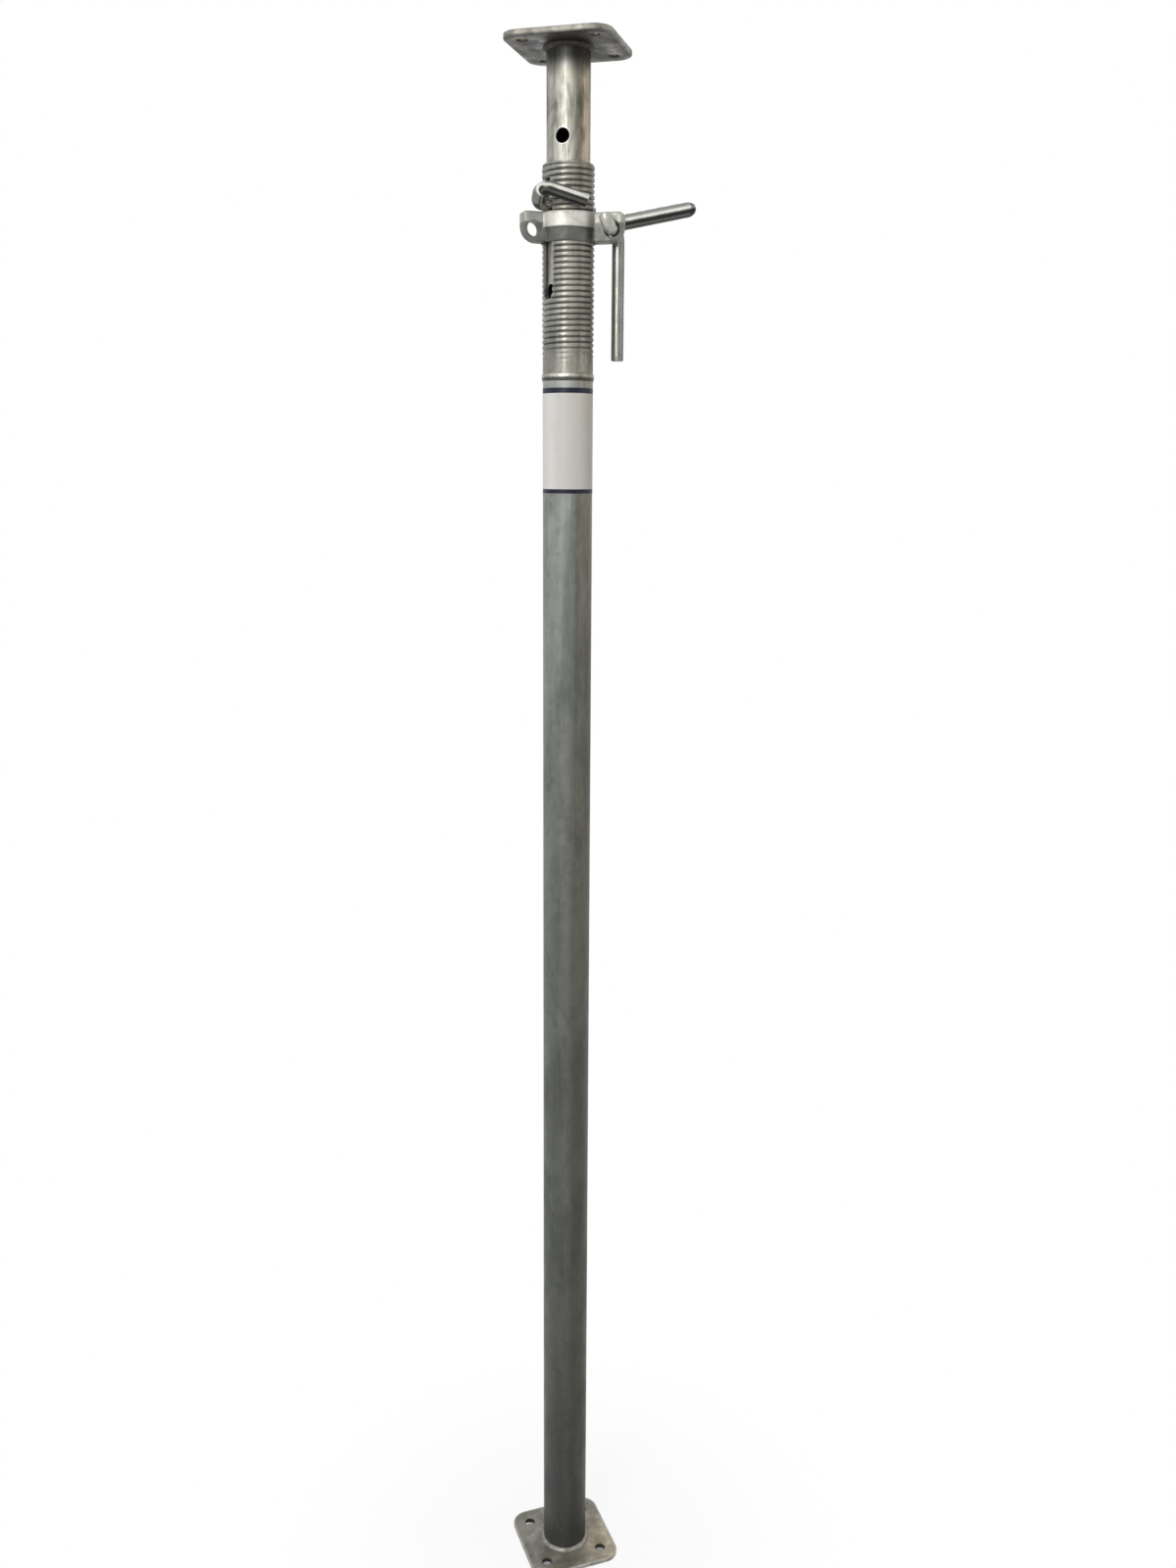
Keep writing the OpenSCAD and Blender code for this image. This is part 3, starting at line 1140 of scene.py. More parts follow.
@dataclass(frozen=True)
class Foil:
    """Printed foil: a pale panel between two dark bands, worn at its edges.

    Attributes:
        name: Name of the material.
        panel: Colour of the panel.
        ink: Colour of the bands.
        band: Height of each band in millimetres.
        height: Height in millimetres that the upper band is counted down from.
        around: Directions in degrees from FRONT and the factors of the colour there: painted light
            and shade round the label.
    """

    name: str = "printed_foil"
    panel: RGB = (0.585, 0.575, 0.55)
    ink: RGB = (0.010, 0.010, 0.028)
    band: float = 4.6
    height: float = 115.0
    # painted light and shade round the label
    around: tuple[tuple[float, RGB], ...] = (
        (-110.0, (1.3, 1.3, 1.3)),
        (-45.0, (1.26, 1.26, 1.26)),
        (-15.0, (1.03, 1.03, 1.03)),
        (20.0, (0.99, 0.975, 0.95)),
        (55.0, (0.92, 0.88, 0.83)),
        (110.0, (0.80, 0.75, 0.68)),
    )

    def build(self) -> bpy.types.Material:
        """Make the material.

        Returns:
            The material, with fibres, soil and rubbed spots over panel and bands.
        """
        n = Nodes(self.name)
        fibre = n.noise(n.where, 420.0, rough=0.6)
        soil = n.noise(n.where, 26.0, detail=5.0, rough=0.6, twist=0.8)
        colour = n.mix(n.band(soil, 0.5, 0.75, 0.0, 0.16), self.panel, (0.52, 0.49, 0.42))
        colour = n.mix(n.band(fibre, 0.6, 0.75, 0.0, 0.08), colour, (0.6, 0.6, 0.58))
        ink = n.mix(n.band(soil, 0.52, 0.7, 0.0, 0.2), self.ink, (0.12, 0.12, 0.15))
        colour = n.mix(self.printed(n, fibre), colour, ink)
        rub = n.band(n.cells(n.place((1.0, 1.0, 0.35)), 75.0), 0.03, 0.1, 1.0, 0.0)
        rubbed = n.times(rub, n.band(soil, 0.48, 0.56))
        colour = n.mix(n.times(rubbed, 0.5), colour, (0.42, 0.42, 0.4))
        # painted light and shade round the label
        colour = n.mix(1.0, colour, n.ring(soil, self.around), "MULTIPLY")
        folds = n.noise(n.place((1.0, 1.0, 0.4)), 60.0, detail=2.0, rough=0.5, twist=1.0)
        inputs = {
            "Base Color": colour,
            "Metallic": 0.0,
            "Roughness": n.band(fibre, 0.3, 0.7, 0.34, 0.5),
            "Specular IOR Level": 0.25,
            "Normal": n.bump(fibre, 0.12, 0.0001, n.bump(folds, 0.25, 0.0004)),
        }
        n.fill(n.shader, inputs)
        return n.material

    def printed(self, n: Nodes, fibre: Socket) -> Socket:
        """Where the bands are, from the foil's own height coordinate in millimetres.

        Args:
            n: The material.
            fibre: Fine noise that makes the borders ragged.

        Returns:
            1 on the bands and 0 between them.
        """
        source = n.add("ShaderNodeUVMap").outputs["UV"]
        ragged = n.wander(n.split(source)[1], fibre, 0.35)
        soft, top = 0.25, self.height - self.band
        low = n.band(ragged, self.band, self.band + soft, 1.0, 0.0)
        return n.math("ADD", low, n.band(ragged, top - soft, top), True)


# ---- sub-assemblies ---------------------------------------------------------------
@dataclass(frozen=True)
class Levels:
    """Heights and radii that several sub-assemblies share, in millimetres."""

    rim: float
    seam: float
    head: float
    nut_low: float
    nut_high: float
    pin_z: float
    outer_r: float = 28.5
    outer_bore: float = 25.6
    thread_r: float = 29.1
    inner_r: float = 24.15
    inner_bore: float = 20.95
    slot_dir: float = SLOT_DIR
    front_dir: float = 251.0
    ear_dir: float = -34.0

    @classmethod
    def read(cls) -> "Levels":
        """Read the heights from the frame's boxes.

        Returns:
            The levels, with the pin's middle its radius and 0.3 above the nut.
        """
        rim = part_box("thread_sleeve")[1][2] / MM
        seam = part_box("thread_sleeve")[0][2] / MM
        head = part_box("head_plate")[0][2] / MM
        low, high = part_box("collar_nut")[0][2] / MM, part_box("collar_nut")[1][2] / MM
        return cls(rim, seam, head, low, high, pin_z=high + 0.3 + ROD_D / 2.0)


def dress(
    piece: bpy.types.Object,
    material: bpy.types.Material,
    body: Body,
    nodes: Sequence[str],
) -> bpy.types.Object:
    """Give a piece its finish, its body and the solids it stands for.

    Args:
        piece: A finished piece.
        material: Its finish.
        body: The body that it rides on.
        nodes: Solids of the frame that it replaces.

    Returns:
        The piece.
    """
    piece.data.materials.clear()
    piece.data.materials.append(material)
    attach(piece, body.value)
    if nodes:
        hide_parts(*nodes)
    LOG.info("%s: %d faces on %s", piece.name, len(piece.data.polygons), body.value)
    return piece


@dataclass
class Plate:
    """Square end plate with round corners, four fixing holes and a drain hole."""

    name: str
    node: str
    base: float
    body: Body
    finish: Zinc
    spacing: float
    turn: float = 0.0
    side: float = PLATE_SIDE
    thickness: float = PLATE_THICK
    corner: float = PLATE_CORNER
    edge: float = 1.1
    bolt: float = 12.0
    drain: float = 26.0
    flare: float = 0.5
    flare_reach: float = 0.7

    def surface(self) -> Array:
        """The rounded square carried through the thickness with quarter-round edges.

        Returns:
            Grid of steps round the outline by points across the thickness.
        """
        outline, way = rounded_square(self.side, self.corner)
        grid = prism(outline, way, *round_edge(self.thickness, self.edge))
        return turn_z(grid, self.turn) + np.array([0.0, 0.0, self.base])

    def holes(self) -> bpy.types.Object:
        """Drills for the fixing holes and the drain hole.

        Returns:
            The drills in one object.
        """
        half = self.thickness / 2.0
        lift = np.array([0.0, 0.0, self.base + half])
        drills = []
        for i, (x, y) in enumerate(four(self.spacing / 2.0)):
            bolt = drill(self.bolt / 2.0, half, self.flare, self.flare_reach)
            grid = turn_z(bolt + np.array([x, y, 0.0]), self.turn)
            drills.append(capped(grid + lift, f"drill_{i}"))
        drain = drill(self.drain / 2.0, half, self.flare, self.flare_reach)
        drills.append(capped(drain + lift, "drill_m"))
        return gather("drills", drills)

    def build(self) -> bpy.types.Object:
        """Make, drill and dress the plate.

        Returns:
            The plate.
        """
        piece = capped(self.surface(), self.name)
        combine(piece, self.holes(), "DIFFERENCE")
        soften(piece, 35.0)
        return dress(piece, self.finish.build(), self.body, [self.node])


@dataclass
class Bead:
    """Fillet weld round a tube, laid in overlapping ripples."""

    name: str
    node: str
    radius: float
    level: float
    leg: float
    body: Body
    finish: Zinc
    up: float = 1.0
    ripples: int = 58
    seed: int = 3
    sides: int = 464
    under: float = 0.7
    below: float = 0.4

    def surface(self) -> Array:
        """A convex fillet whose leg swells with each ripple.

        With f along the face from 0 at the toe to a quarter turn at the tube, the
        face is (r + w cos^1.6 f, w sin^1.6 f). The leg w is the nominal leg times
        0.9 + 0.07 wave + 0.07 ripple sin 2f, where the ripples lag behind along the face.

        Returns:
            Grid of steps round the tube by points across the bead.
        """
        t = np.arange(self.sides)[:, None] * TAU / self.sides
        f = np.linspace(0.0, math.pi / 2.0, 11)[None, :]
        lag = 0.045 * np.sin(2.0 * f)
        ripple = np.abs(np.sin(self.ripples * (t + lag) / 2.0)) ** 0.7
        w = self.leg * (0.9 + 0.07 * wobble(t, self.seed) + 0.07 * ripple * np.sin(2.0 * f))
        r = self.radius + w * np.cos(f) ** FILLET
        z = w * np.sin(f) ** FILLET
        inner_r = np.full((self.sides, 2), self.radius - self.under)
        inner_z = np.broadcast_to([self.leg * 0.8, -self.below], (self.sides, 2))
        r = np.concatenate([r, inner_r, r[:, :1] - 0.3], 1)
        z = np.concatenate([z, inner_z, 0.0 * t - self.below], 1)
        return np.stack([r * np.cos(t), r * np.sin(t), self.level + self.up * z], -1)

    def build(self) -> bpy.types.Object:
        """Make and dress the bead."""
        piece = Skin(self.surface()).build(self.name, 60.0)
        return dress(piece, self.finish.build(), self.body, [self.node])


def pipe(outer: float, bore: float, low: float, high: float, rings: int, sides: int) -> Array:
    """Carry the closed profile of a tube's outside and bore round Z.

    Args:
        outer: Radius of the outside.
        bore: Radius of the bore.
        low: Height of the lower end.
        high: Height of the upper end.
        rings: Points along each wall.
        sides: Steps round the axis.

    Returns:
        Grid of the tube's surface.
    """
    z = np.linspace(low, high, rings)
    r = np.repeat([outer, bore], rings)
    return lathe(np.stack([r, np.concatenate([z, z[::-1]])], -1), sides)


@dataclass
class OuterTube:
    """Plain tube, welded seam, threaded and slotted upper tube, and foil label."""

    levels: Levels
    tube_finish: Zinc
    thread_finish: Zinc
    weld_finish: Zinc
    foil: Foil
    foot: float = PLATE_THICK
    sides: int = 160
    zone: float = 199.0
    pitch: float = 6.0
    run_out: float = 24.0
    depth: float = 1.25
    slot_drop: float = 15.0
    slot_length: float = 127.0
    slot_reach: float = 58.0
    label_height: float = 116.0
    label_drop: float = 12.0
    label_wrap: float = 210.0
    label_corner: float = 3.0

    def tube(self) -> bpy.types.Object:
        """The plain tube, from the foot plate to the seam.

        Returns:
            The tube.
        """
        lv = self.levels
        grid = pipe(lv.outer_r, lv.outer_bore, self.foot, lv.seam, 60, self.sides)
        piece = Skin(grid).build("plain_tube")
        return dress(piece, self.tube_finish.build(), Body.OUTER, ["outer_tube"])

    def seam(self) -> bpy.types.Object:
        """The butt weld: half an ellipse 9 wide and 1.4 high, carried round with ripples.

        With f from 0 at its lower toe to half a turn at its upper toe, a point lies
        1.5 swell sin^0.8 f out of the tube and 4.3 cos f below the seam.

        Returns:
            The bead, whose shade is -cos f.
        """
        sides, lv = 480, self.levels
        t = np.arange(sides)[:, None] * TAU / sides
        f = np.linspace(0.0, math.pi, 15)[None, :]
        ripple = np.abs(np.sin(33.0 * (t + 0.03 * np.sin(f)))) ** 0.8
        swell = 0.86 + 0.06 * wobble(t, 5) + 0.08 * ripple
        r = lv.outer_r - 0.15 + (1.5 * swell - 0.05) * np.sin(f) ** 0.8
        z = lv.seam - 4.3 * (1.0 + 0.04 * wobble(t, 8)) * np.cos(f)
        r = np.concatenate([r, np.full((sides, 2), lv.outer_r - 0.9)], 1)
        back = np.broadcast_to([lv.seam + 3.9, lv.seam - 3.9], (sides, 2))
        z = np.concatenate([z, back], 1)
        rise = np.concatenate([-np.cos(f), [[1.0, -1.0]]], 1) + 0.0 * t
        skin = Skin(np.stack([r * np.cos(t), r * np.sin(t), z], -1), shade=rise)
        piece = skin.build("seam_bead", 60.0)
        return dress(piece, self.weld_finish.build(), Body.OUTER, ["sleeve_weld"])

    def thread_surface(self) -> tuple[Array, Array]:
        """The upper tube with a rolled right-hand thread.

        With phase p = (z - pitch t / 2 pi) / pitch, a rib's height is the eased value of
        0.85 + 0.95 cos(2 pi p), held between 0 and 1. The radius is the root plus depth times
        the rib, and it eases into the plain radius over the run-out below and near the rim.

        Returns:
            Grid of steps round the tube by heights, and the height of the ribs there.
        """
        lv, sides, step = self.levels, 144, 0.6
        low = lv.rim - self.zone - self.run_out / 2.0
        z_neck = np.linspace(lv.seam, low - step, 8)
        z_rib = np.arange(low, lv.rim - 1.3, step)
        z_rim = lv.rim - np.array([1.2, 0.6, 0.25, 0.0])
        z_in = np.linspace(lv.rim, lv.seam, 12)
        z = np.concatenate([z_neck, z_rib, z_rim, z_in])
        t = np.arange(sides)[:, None] * TAU / sides
        phase = (z[None, :] - self.pitch * t / TAU) / self.pitch
        rib = smoothstep(0.85 + 0.95 * np.cos(TAU * phase))
        fade = smoothstep((z - low) / self.run_out) * smoothstep((lv.rim - 0.4 - z) / 2.4)
        plain = np.where(z > lv.rim - 8.0, lv.thread_r - 0.7, lv.outer_r)
        ground = lv.thread_r - self.depth + self.depth * rib
        r = plain + (ground - plain) * fade
        r = np.minimum(r, np.interp(z, z_rim, [40.0, 28.3, 28.1, 27.6]))
        r[:, z.size - z_in.size :] = lv.outer_bore + 0.05
        return np.stack([r * np.cos(t), r * np.sin(t), z + 0.0 * t], -1), 1.0 - fade * (1.0 - rib)

    def slot_cutter(self) -> bpy.types.Object:
        """An upright slot outline with round ends, carried right across the tube.

        Each end is half a circle (r cos t, m + r sin t) about its own middle m.

        Returns:
            The cutter.
        """
        lv, r, steps = self.levels, HOLE_R, 25
        top = lv.rim - self.slot_drop
        t = np.radians(np.linspace([0.0, 180.0], [180.0, 360.0], steps).T.ravel())
        mid = np.repeat([top - r, top - self.slot_length + r], steps)
        across, height = r * np.cos(t)[:, None], (mid + r * np.sin(t))[:, None]
        along = np.array([[-self.slot_reach, self.slot_reach]])
        grid = np.stack(np.broadcast_arrays(along, across, height), -1)
        return capped(turn_z(grid, lv.slot_dir), "slot_cutter")

    def thread(self) -> bpy.types.Object:
        """Make the threaded tube and cut its slot through both walls.

        Returns:
            The threaded tube.
        """
        points, height = self.thread_surface()
        piece = Skin(points, shade=height).build("threaded_tube", 50.0)
        combine(piece, self.slot_cutter(), "DIFFERENCE")
        soften(piece, 50.0)
        zinc = self.thread_finish.build()
        return dress(piece, zinc, Body.OUTER, ["thread_sleeve"])

    def label(self) -> bpy.types.Object:
        """The foil: a patch of the tube with round corners and a slightly lifted rim.

        The patch is a strip of columns across the height; near the two upright edges the
        strip shortens along a quarter circle of the corner's radius. Texture coordinates
        are the arc's length and the height in millimetres.

        Returns:
            The foil.
        """
        lv, r, h, c = self.levels, self.levels.outer_r, self.label_height, self.label_corner
        arc = math.radians(self.label_wrap) * r
        edge = np.linspace(0.0, c, 9)
        s = np.concatenate([edge[:-1], np.linspace(c, arc - c, 90), arc - edge[-2::-1]])
        near = np.minimum(s, arc - s)
        round_cut = c - np.sqrt(np.maximum(c * c - (c - near) ** 2, 0.0))
        cut = np.where(near < c, round_cut, 0.0)[:, None]
        v = cut + (h - 2.0 * cut) * np.linspace(0.0, 1.0, 30)[None, :]
        rim = np.minimum(np.minimum(near[:, None], v), h - v)
        lift = 0.05 * np.exp(-rim / 1.5) + 0.02 * np.sin(s[:, None] * 0.35) * np.sin(v * 0.11)
        t = (math.radians(lv.front_dir - self.label_wrap / 2.0) + s / r)[:, None]
        inner = np.full_like(lift, r + 0.05)
        rad = np.concatenate([r + 0.16 + lift, inner], 1)
        high = np.concatenate([v, v[:, ::-1]], 1)
        z = lv.seam - self.label_drop - h + high
        points = np.stack([rad * np.cos(t), rad * np.sin(t), z], -1).transpose(1, 0, 2)
        height = np.concatenate([high, high[:, :1]], 1).T
        uv = np.stack([np.broadcast_to(s, height.shape), height], -1)
        piece = Skin(points, wrap_cols=False, caps=True, uv=uv).build("foil_label")
        return dress(piece, self.foil.build(), Body.OUTER, ["label"])

    def build(self) -> None:
        """Make all the pieces of the outer tube."""
        self.tube()
        self.seam()
        self.thread()
        self.label()


@dataclass
class InnerTube:
    """Inner tube with its row of adjusting holes and the single cross hole."""

    levels: Levels
    finish: Zinc
    length: float = 1600.0
    pitch: float = 90.0
    count: int = 13
    cross_drop: float = 92.0
    drill_half: float = 30.0
    sides: int = 128

    def cutters(self) -> bpy.types.Object:
        """A level drill through both walls for each hole.

        Returns:
            The drills in one object.
        """
        lv = self.levels
        heights = [*(lv.pin_z - self.pitch * np.arange(self.count)), lv.head - self.cross_drop]
        turns = [lv.slot_dir] * self.count + [HEAD_TURN - 90.0]
        upright = drill(HOLE_R, self.drill_half, sides=48)
        level = upright[..., [2, 0, 1]]
        drills = []
        for i, (z, turn) in enumerate(zip(heights, turns)):
            drills.append(capped(turn_z(level, turn) + np.array([0.0, 0.0, z]), f"drill_{i}"))
        return gather("drills", drills)

    def build(self) -> bpy.types.Object:
        """Make the tube and drill it.

        Returns:
            The inner tube.
        """
        lv = self.levels
        grid = pipe(lv.inner_r, lv.inner_bore, lv.head - self.length, lv.head, 41, self.sides)
        piece = Skin(grid).build("inner_pipe")
        combine(piece, self.cutters(), "DIFFERENCE")
        soften(piece, 40.0)
        return dress(piece, self.finish.build(), Body.INNER, ["inner_tube"])


@dataclass
class Nut:
    """Cast collar nut with two eared lugs, its turning bar and the bar's weld."""

    levels: Levels
    cast_finish: Zinc
    bar_finish: Zinc
    weld_finish: Zinc
    height: float = 31.4
    outer: float = 33.5
    bore: float = 29.4
    step: float = 14.4
    plain_reach: float = 54.0
    handle_reach: float = 63.0
    plain_eye: float = 42.5
    handle_eye: float = 52.0
    spread: float = 145.0
    eye: float = 16.0
    ear_root: float = 24.0
    low_corner: float = 17.0
    top_corner: float = 2.5
    ear_edge: float = 2.0
    cell: float = 0.00075
    bar_d: float = 17.0
    bar_reach: float = 160.0
    bar_rise: float = 13.6
    bar_turn: float = 4.5
    bar_root: float = 19.3
    bead: float = 2.3

    def ring(self) -> bpy.types.Object:
        """The body of the nut without its bore: a stepped profile carried round Z.

        Returns:
            The ring.
        """
        o, h, low = self.outer, self.height, self.step
        lower = [[0.0, 0.0], [o - 3.2, 0.0], [o - 2.2, 1.2], [o - 1.2, low]]
        upper = [[o, low + 0.8], [o, h - 0.9], [o - 0.9, h], [0.0, h]]
        grid = lathe(np.array(lower + upper), 128) + [0.0, 0.0, self.levels.nut_low]
        return Skin(grid, wrap_cols=False).build("nut_ring")

    def ear(self, reach: float, turn: float, name: str) -> bpy.types.Object:
        """A lug: flat top and a round lower outer corner, rounded over its thickness.

        The outline runs along the underside, round the quarter circle of the lower outer
        corner, up the outer end, round the upper corner and back along the top.

        Args:
            reach: Distance from the axis to the lug's end.
            turn: Direction of the lug.
            name: Name of the object.

        Returns:
            The lug.
        """
        c, k, h = self.low_corner, self.top_corner, self.height
        t = np.radians(np.linspace(-90.0, 0.0, 16))
        q = np.radians(np.linspace(0.0, 90.0, 6))
        way, top_way = (np.stack([np.cos(a), np.sin(a)], -1) for a in (t, q))
        arc = np.array([reach - c, c]) + c * way
        top = np.array([reach - k, h - k]) + k * top_way
        outline = np.concatenate([[[self.ear_root, 0.0]], arc, top, [[self.ear_root, h]]])
        ways = np.concatenate([[[0.0, -1.0]], way, top_way, [[0.0, 1.0]]])
        inset, depth = round_edge(EAR_THICK, self.ear_edge)
        upright = prism(outline, ways, inset, depth - EAR_THICK / 2.0)[..., [0, 2, 1]]
        return capped(turn_z(upright + [0.0, 0.0, self.levels.nut_low], turn), name)

    def eye_drill(self, at: float, turn: float, name: str) -> bpy.types.Object:
        """A level drill with rounded mouths for an ear's eye.

        Args:
            at: Distance of the eye from the axis.
            turn: Direction of the ear.
            name: Name of the object.

        Returns:
            The drill.
        """
        level = drill(self.eye / 2.0 + 0.1, EAR_THICK / 2.0, 1.4, 1.8)[..., [0, 2, 1]]
        lift = np.array([0.0, 0.0, self.levels.nut_low + EYE_RISE])
        return capped(turn_z(level + [at, 0.0, 0.0], turn) + lift, name)

    def casting(self) -> bpy.types.Object:
        """Join ring and ears, drill the eyes, round all edges like a casting, and bore it.

        Returns:
            The nut.
        """
        lv = self.levels
        piece = self.ring()
        piece.name = "nut_casting"
        lugs = (
            (self.handle_reach, self.handle_eye, lv.ear_dir, "a"),
            (self.plain_reach, self.plain_eye, lv.ear_dir - self.spread, "b"),
        )
        for reach, at, turn, mark in lugs:
            combine(piece, self.ear(reach, turn, f"ear_{mark}"), "UNION")
            combine(piece, self.eye_drill(at, turn, f"eye_{mark}"), "DIFFERENCE")
        skin = piece.modifiers.new("skin", "REMESH")
        skin.mode = "VOXEL"
        skin.voxel_size = self.cell
        soft = piece.modifiers.new("soft", "SMOOTH")
        soft.factor, soft.iterations = 0.5, 6
        settle(piece)
        half = self.height / 2.0
        bore = drill(self.bore, half, 0.9, 1.2, 144) + [0.0, 0.0, lv.nut_low + half]
        combine(piece, capped(bore, "bore"), "DIFFERENCE")
        soften(piece, 48.0)
        return dress(piece, self.cast_finish.build(), Body.NUT, ["collar_nut"])

    def bar_axes(self) -> tuple[Array, Array, Array, Array]:
        """The bar's axis, which starts 1.8 under the nut's round wall and rises outwards.

        Returns:
            Its root point, its direction, and the two directions across it.
        """
        a, b = math.radians(self.bar_turn), math.radians(self.bar_rise)
        flat = np.array([math.cos(a), math.sin(a), 0.0])
        way = flat * math.cos(b) + np.array([0.0, 0.0, math.sin(b)])
        side = np.array([-math.sin(a), math.cos(a), 0.0])
        root = flat * (self.outer - 1.8) + np.array([0.0, 0.0, self.levels.nut_low + self.bar_root])
        return root, way, side, np.cross(way, side)

    def bar(self) -> bpy.types.Object:
        """The bar: a circle carried from inside the nut's wall to a rounded tip.

        Returns:
            The bar.
        """
        root, way, _, _ = self.bar_axes()
        r = self.bar_d / 2.0
        length = (self.bar_reach - self.outer) / math.cos(math.radians(self.bar_rise))
        from_tip = np.array([6.0, 3.6, 2.0, 1.1, 0.6, 0.1, 0.0, 0.0])
        shaft = np.linspace(0.3, length - 9.0, 26)
        run = np.concatenate([[0.2, 0.2], shaft, length - from_tip])
        narrow = np.array([0.7, 1.6, 2.6, 3.5, 4.4, 5.6, 5.9, r])
        radius = np.concatenate([[0.0], np.full(shaft.size + 1, r), r - narrow])
        path = root + run[:, None] * way
        points, out = carry(path, np.repeat(way[None], run.size, 0), radius, 64, (0.0, 0.0, 1.0))
        skin = Skin(points, wrap_cols=False, v=run / 100.0, shade=lit_side(out, way))
        piece = skin.build("turn_bar", 50.0)
        return dress(piece, self.bar_finish.build(), Body.NUT, ["turning_bar"])

    def bar_bead(self) -> bpy.types.Object:
        """The weld where the bar meets the nut.

        Round the bar at angle f, the bar's line at radius r meets the nut's round wall R at
        the run x that solves |root + x way + r out| = R in the plan. The bead spans from
        x + w on the bar to radius r + w on the wall along the convex fillet curve.

        Returns:
            The bead.
        """
        root, way, side, up = self.bar_axes()
        r, sides = self.bar_d / 2.0, 240
        f = np.arange(sides)[:, None] * TAU / sides
        g = np.linspace(0.0, math.pi / 2.0, 9)[None, :]
        ripple = np.abs(np.sin(13.0 * (f + 0.1 * np.sin(2.0 * g)))) ** 0.8
        w = self.bead * (0.9 + 0.12 * wobble(f, 11) + 0.1 * ripple)
        rho = r + w * np.sin(g) ** FILLET
        lift = w * np.cos(g) ** FILLET
        rho = np.concatenate([rho, rho[:, -1:], np.full((sides, 2), r - 1.0)], 1)
        lift = np.concatenate([lift, np.full((sides, 2), -1.2), 0.6 * w[:, :1]], 1)
        out = np.cos(f)[..., None] * side + np.sin(f)[..., None] * up
        base = root + rho[..., None] * out
        a = way[0] ** 2 + way[1] ** 2
        b = base[..., 0] * way[0] + base[..., 1] * way[1]
        c = base[..., 0] ** 2 + base[..., 1] ** 2 - (self.outer - 0.2) ** 2
        x = (-b + np.sqrt(np.maximum(b * b - a * c, 0.0))) / a
        points = base + (x + lift)[..., None] * way
        points[..., 2] = np.minimum(points[..., 2], self.levels.nut_high - 0.1)
        piece = Skin(points).build("bar_bead", 60.0)
        return dress(piece, self.weld_finish.build(), Body.NUT, ["bar_weld"])

    def build(self) -> None:
        """Make all the pieces that turn with the nut."""
        self.casting()
        self.bar()
        self.bar_bead()


def lit_side(out: Array, way: Array) -> Array:
    """How far a rod's surface looks up, or to the right front where the rod is upright.

    Args:
        out: Outward directions of the rod's points.
        way: Direction of the rod, one for all or one for each station.

    Returns:
        Values from -1 on the dull side to 1 on the bright side.
    """
    way = np.broadcast_to(way, out.shape[1:])
    steep = np.abs(way[:, 2:3])
    aim = (1.0 - steep) * np.array([0.0, 0.0, 1.0]) + steep * np.array([0.75, -0.6, 0.28])
    across = aim - way * (aim * way).sum(-1, keepdims=True)
    return (out * unit(across)).sum(-1)


@dataclass
class Rod:
    """Round rod bent at its corners, with chamfered cut ends.

    Between the first two values of even, distances along the rod in millimetres, its
    painted highlight and shade lines fade into the one tone of the shade that the third value
    gives.
    """

    name: str
    node: str
    corners: Array
    body: Body
    finish: Zinc
    turn: float
    shift: Point
    side: Point
    even: tuple[float, float, float]
    diameter: float = ROD_D
    bend: float = BEND
    chamfer: float = 1.3
    fading: float = 8.0

    def build(self) -> bpy.types.Object:
        """Carry the circle along the bent path, with smaller rings at its two ends.

        Returns:
            The rod.
        """
        path, way = bent_path(self.corners, self.bend)
        r, c = self.diameter / 2.0, self.chamfer
        steps = np.array([0.0, 0.0, 0.25, 0.6, 1.0])[:, None] * c
        small = np.array([0.0, r - c, r - 0.55 * c, r - 0.2 * c, r])
        start, end = path[0] + steps * way[0], path[-1] - steps[::-1] * way[-1]
        points = np.concatenate([start, path[1:-1], end])
        ways = np.concatenate([np.repeat(way[:1], 5, 0), way[1:-1], np.repeat(way[-1:], 5, 0)])
        radius = np.concatenate([small, np.full(path.shape[0] - 2, r), small[::-1]])
        points = turn_z(points, self.turn) + np.array(self.shift)
        ways, side = turn_z(ways, self.turn), turn_z(np.array(self.side), self.turn)
        grid, out = carry(points, ways, radius, 56, side)
        gaps = np.linalg.norm(np.diff(points, axis=0), axis=1)
        run = np.concatenate([[0.0], np.cumsum(gaps)])
        low, high, tone = self.even
        share = smoothstep((run - low) / self.fading) * smoothstep((high - run) / self.fading)
        # where the painted highlight and shade lines fall, from how the surface faces
        shade = lit_side(out, ways)
        shade = shade + (tone - shade) * share
        skin = Skin(grid, wrap_cols=False, v=run / 100.0, shade=shade)
        piece = skin.build(self.name, 50.0)
        return dress(piece, self.finish.build(), self.body, [self.node])


@dataclass
class BentPin:
    """Pin whose shank passes the slot, and whose other end is bent back round the tube.

    Its places lie in a plan that is turned to the front, with heights from its middle.
    """

    levels: Levels
    finish: Zinc
    shank_turn: float = -53.0
    behind: float = 34.0
    ahead: float = 42.8
    loop: Point = (47.2, -29.6, 14.6)
    tip: Point = (37.6, 20.5, 0.6)
    # the loop's painted highlight and shade lines fade into one even tone here
    even: tuple[float, float, float] = (58.0, 100.0, 1.0)

    def build(self) -> bpy.types.Object:
        """Bend the rod from the shank's far end over the loop to the tip.

        Returns:
            The pin.
        """
        lv = self.levels
        shank = turn_z(np.array([1.0, 0.0, 0.0]), self.shank_turn)
        corners = np.array([-self.behind * shank, self.ahead * shank, self.loop, self.tip])
        corners[:, 2] += lv.pin_z
        names, shift, side = ("bent_pin", "g_pin"), (0.0, 0.0, 0.0), (0.0, 0.0, 1.0)
        rod = Rod(*names, corners, Body.PIN, self.finish, lv.front_dir, shift, side, self.even)
        return rod.build()


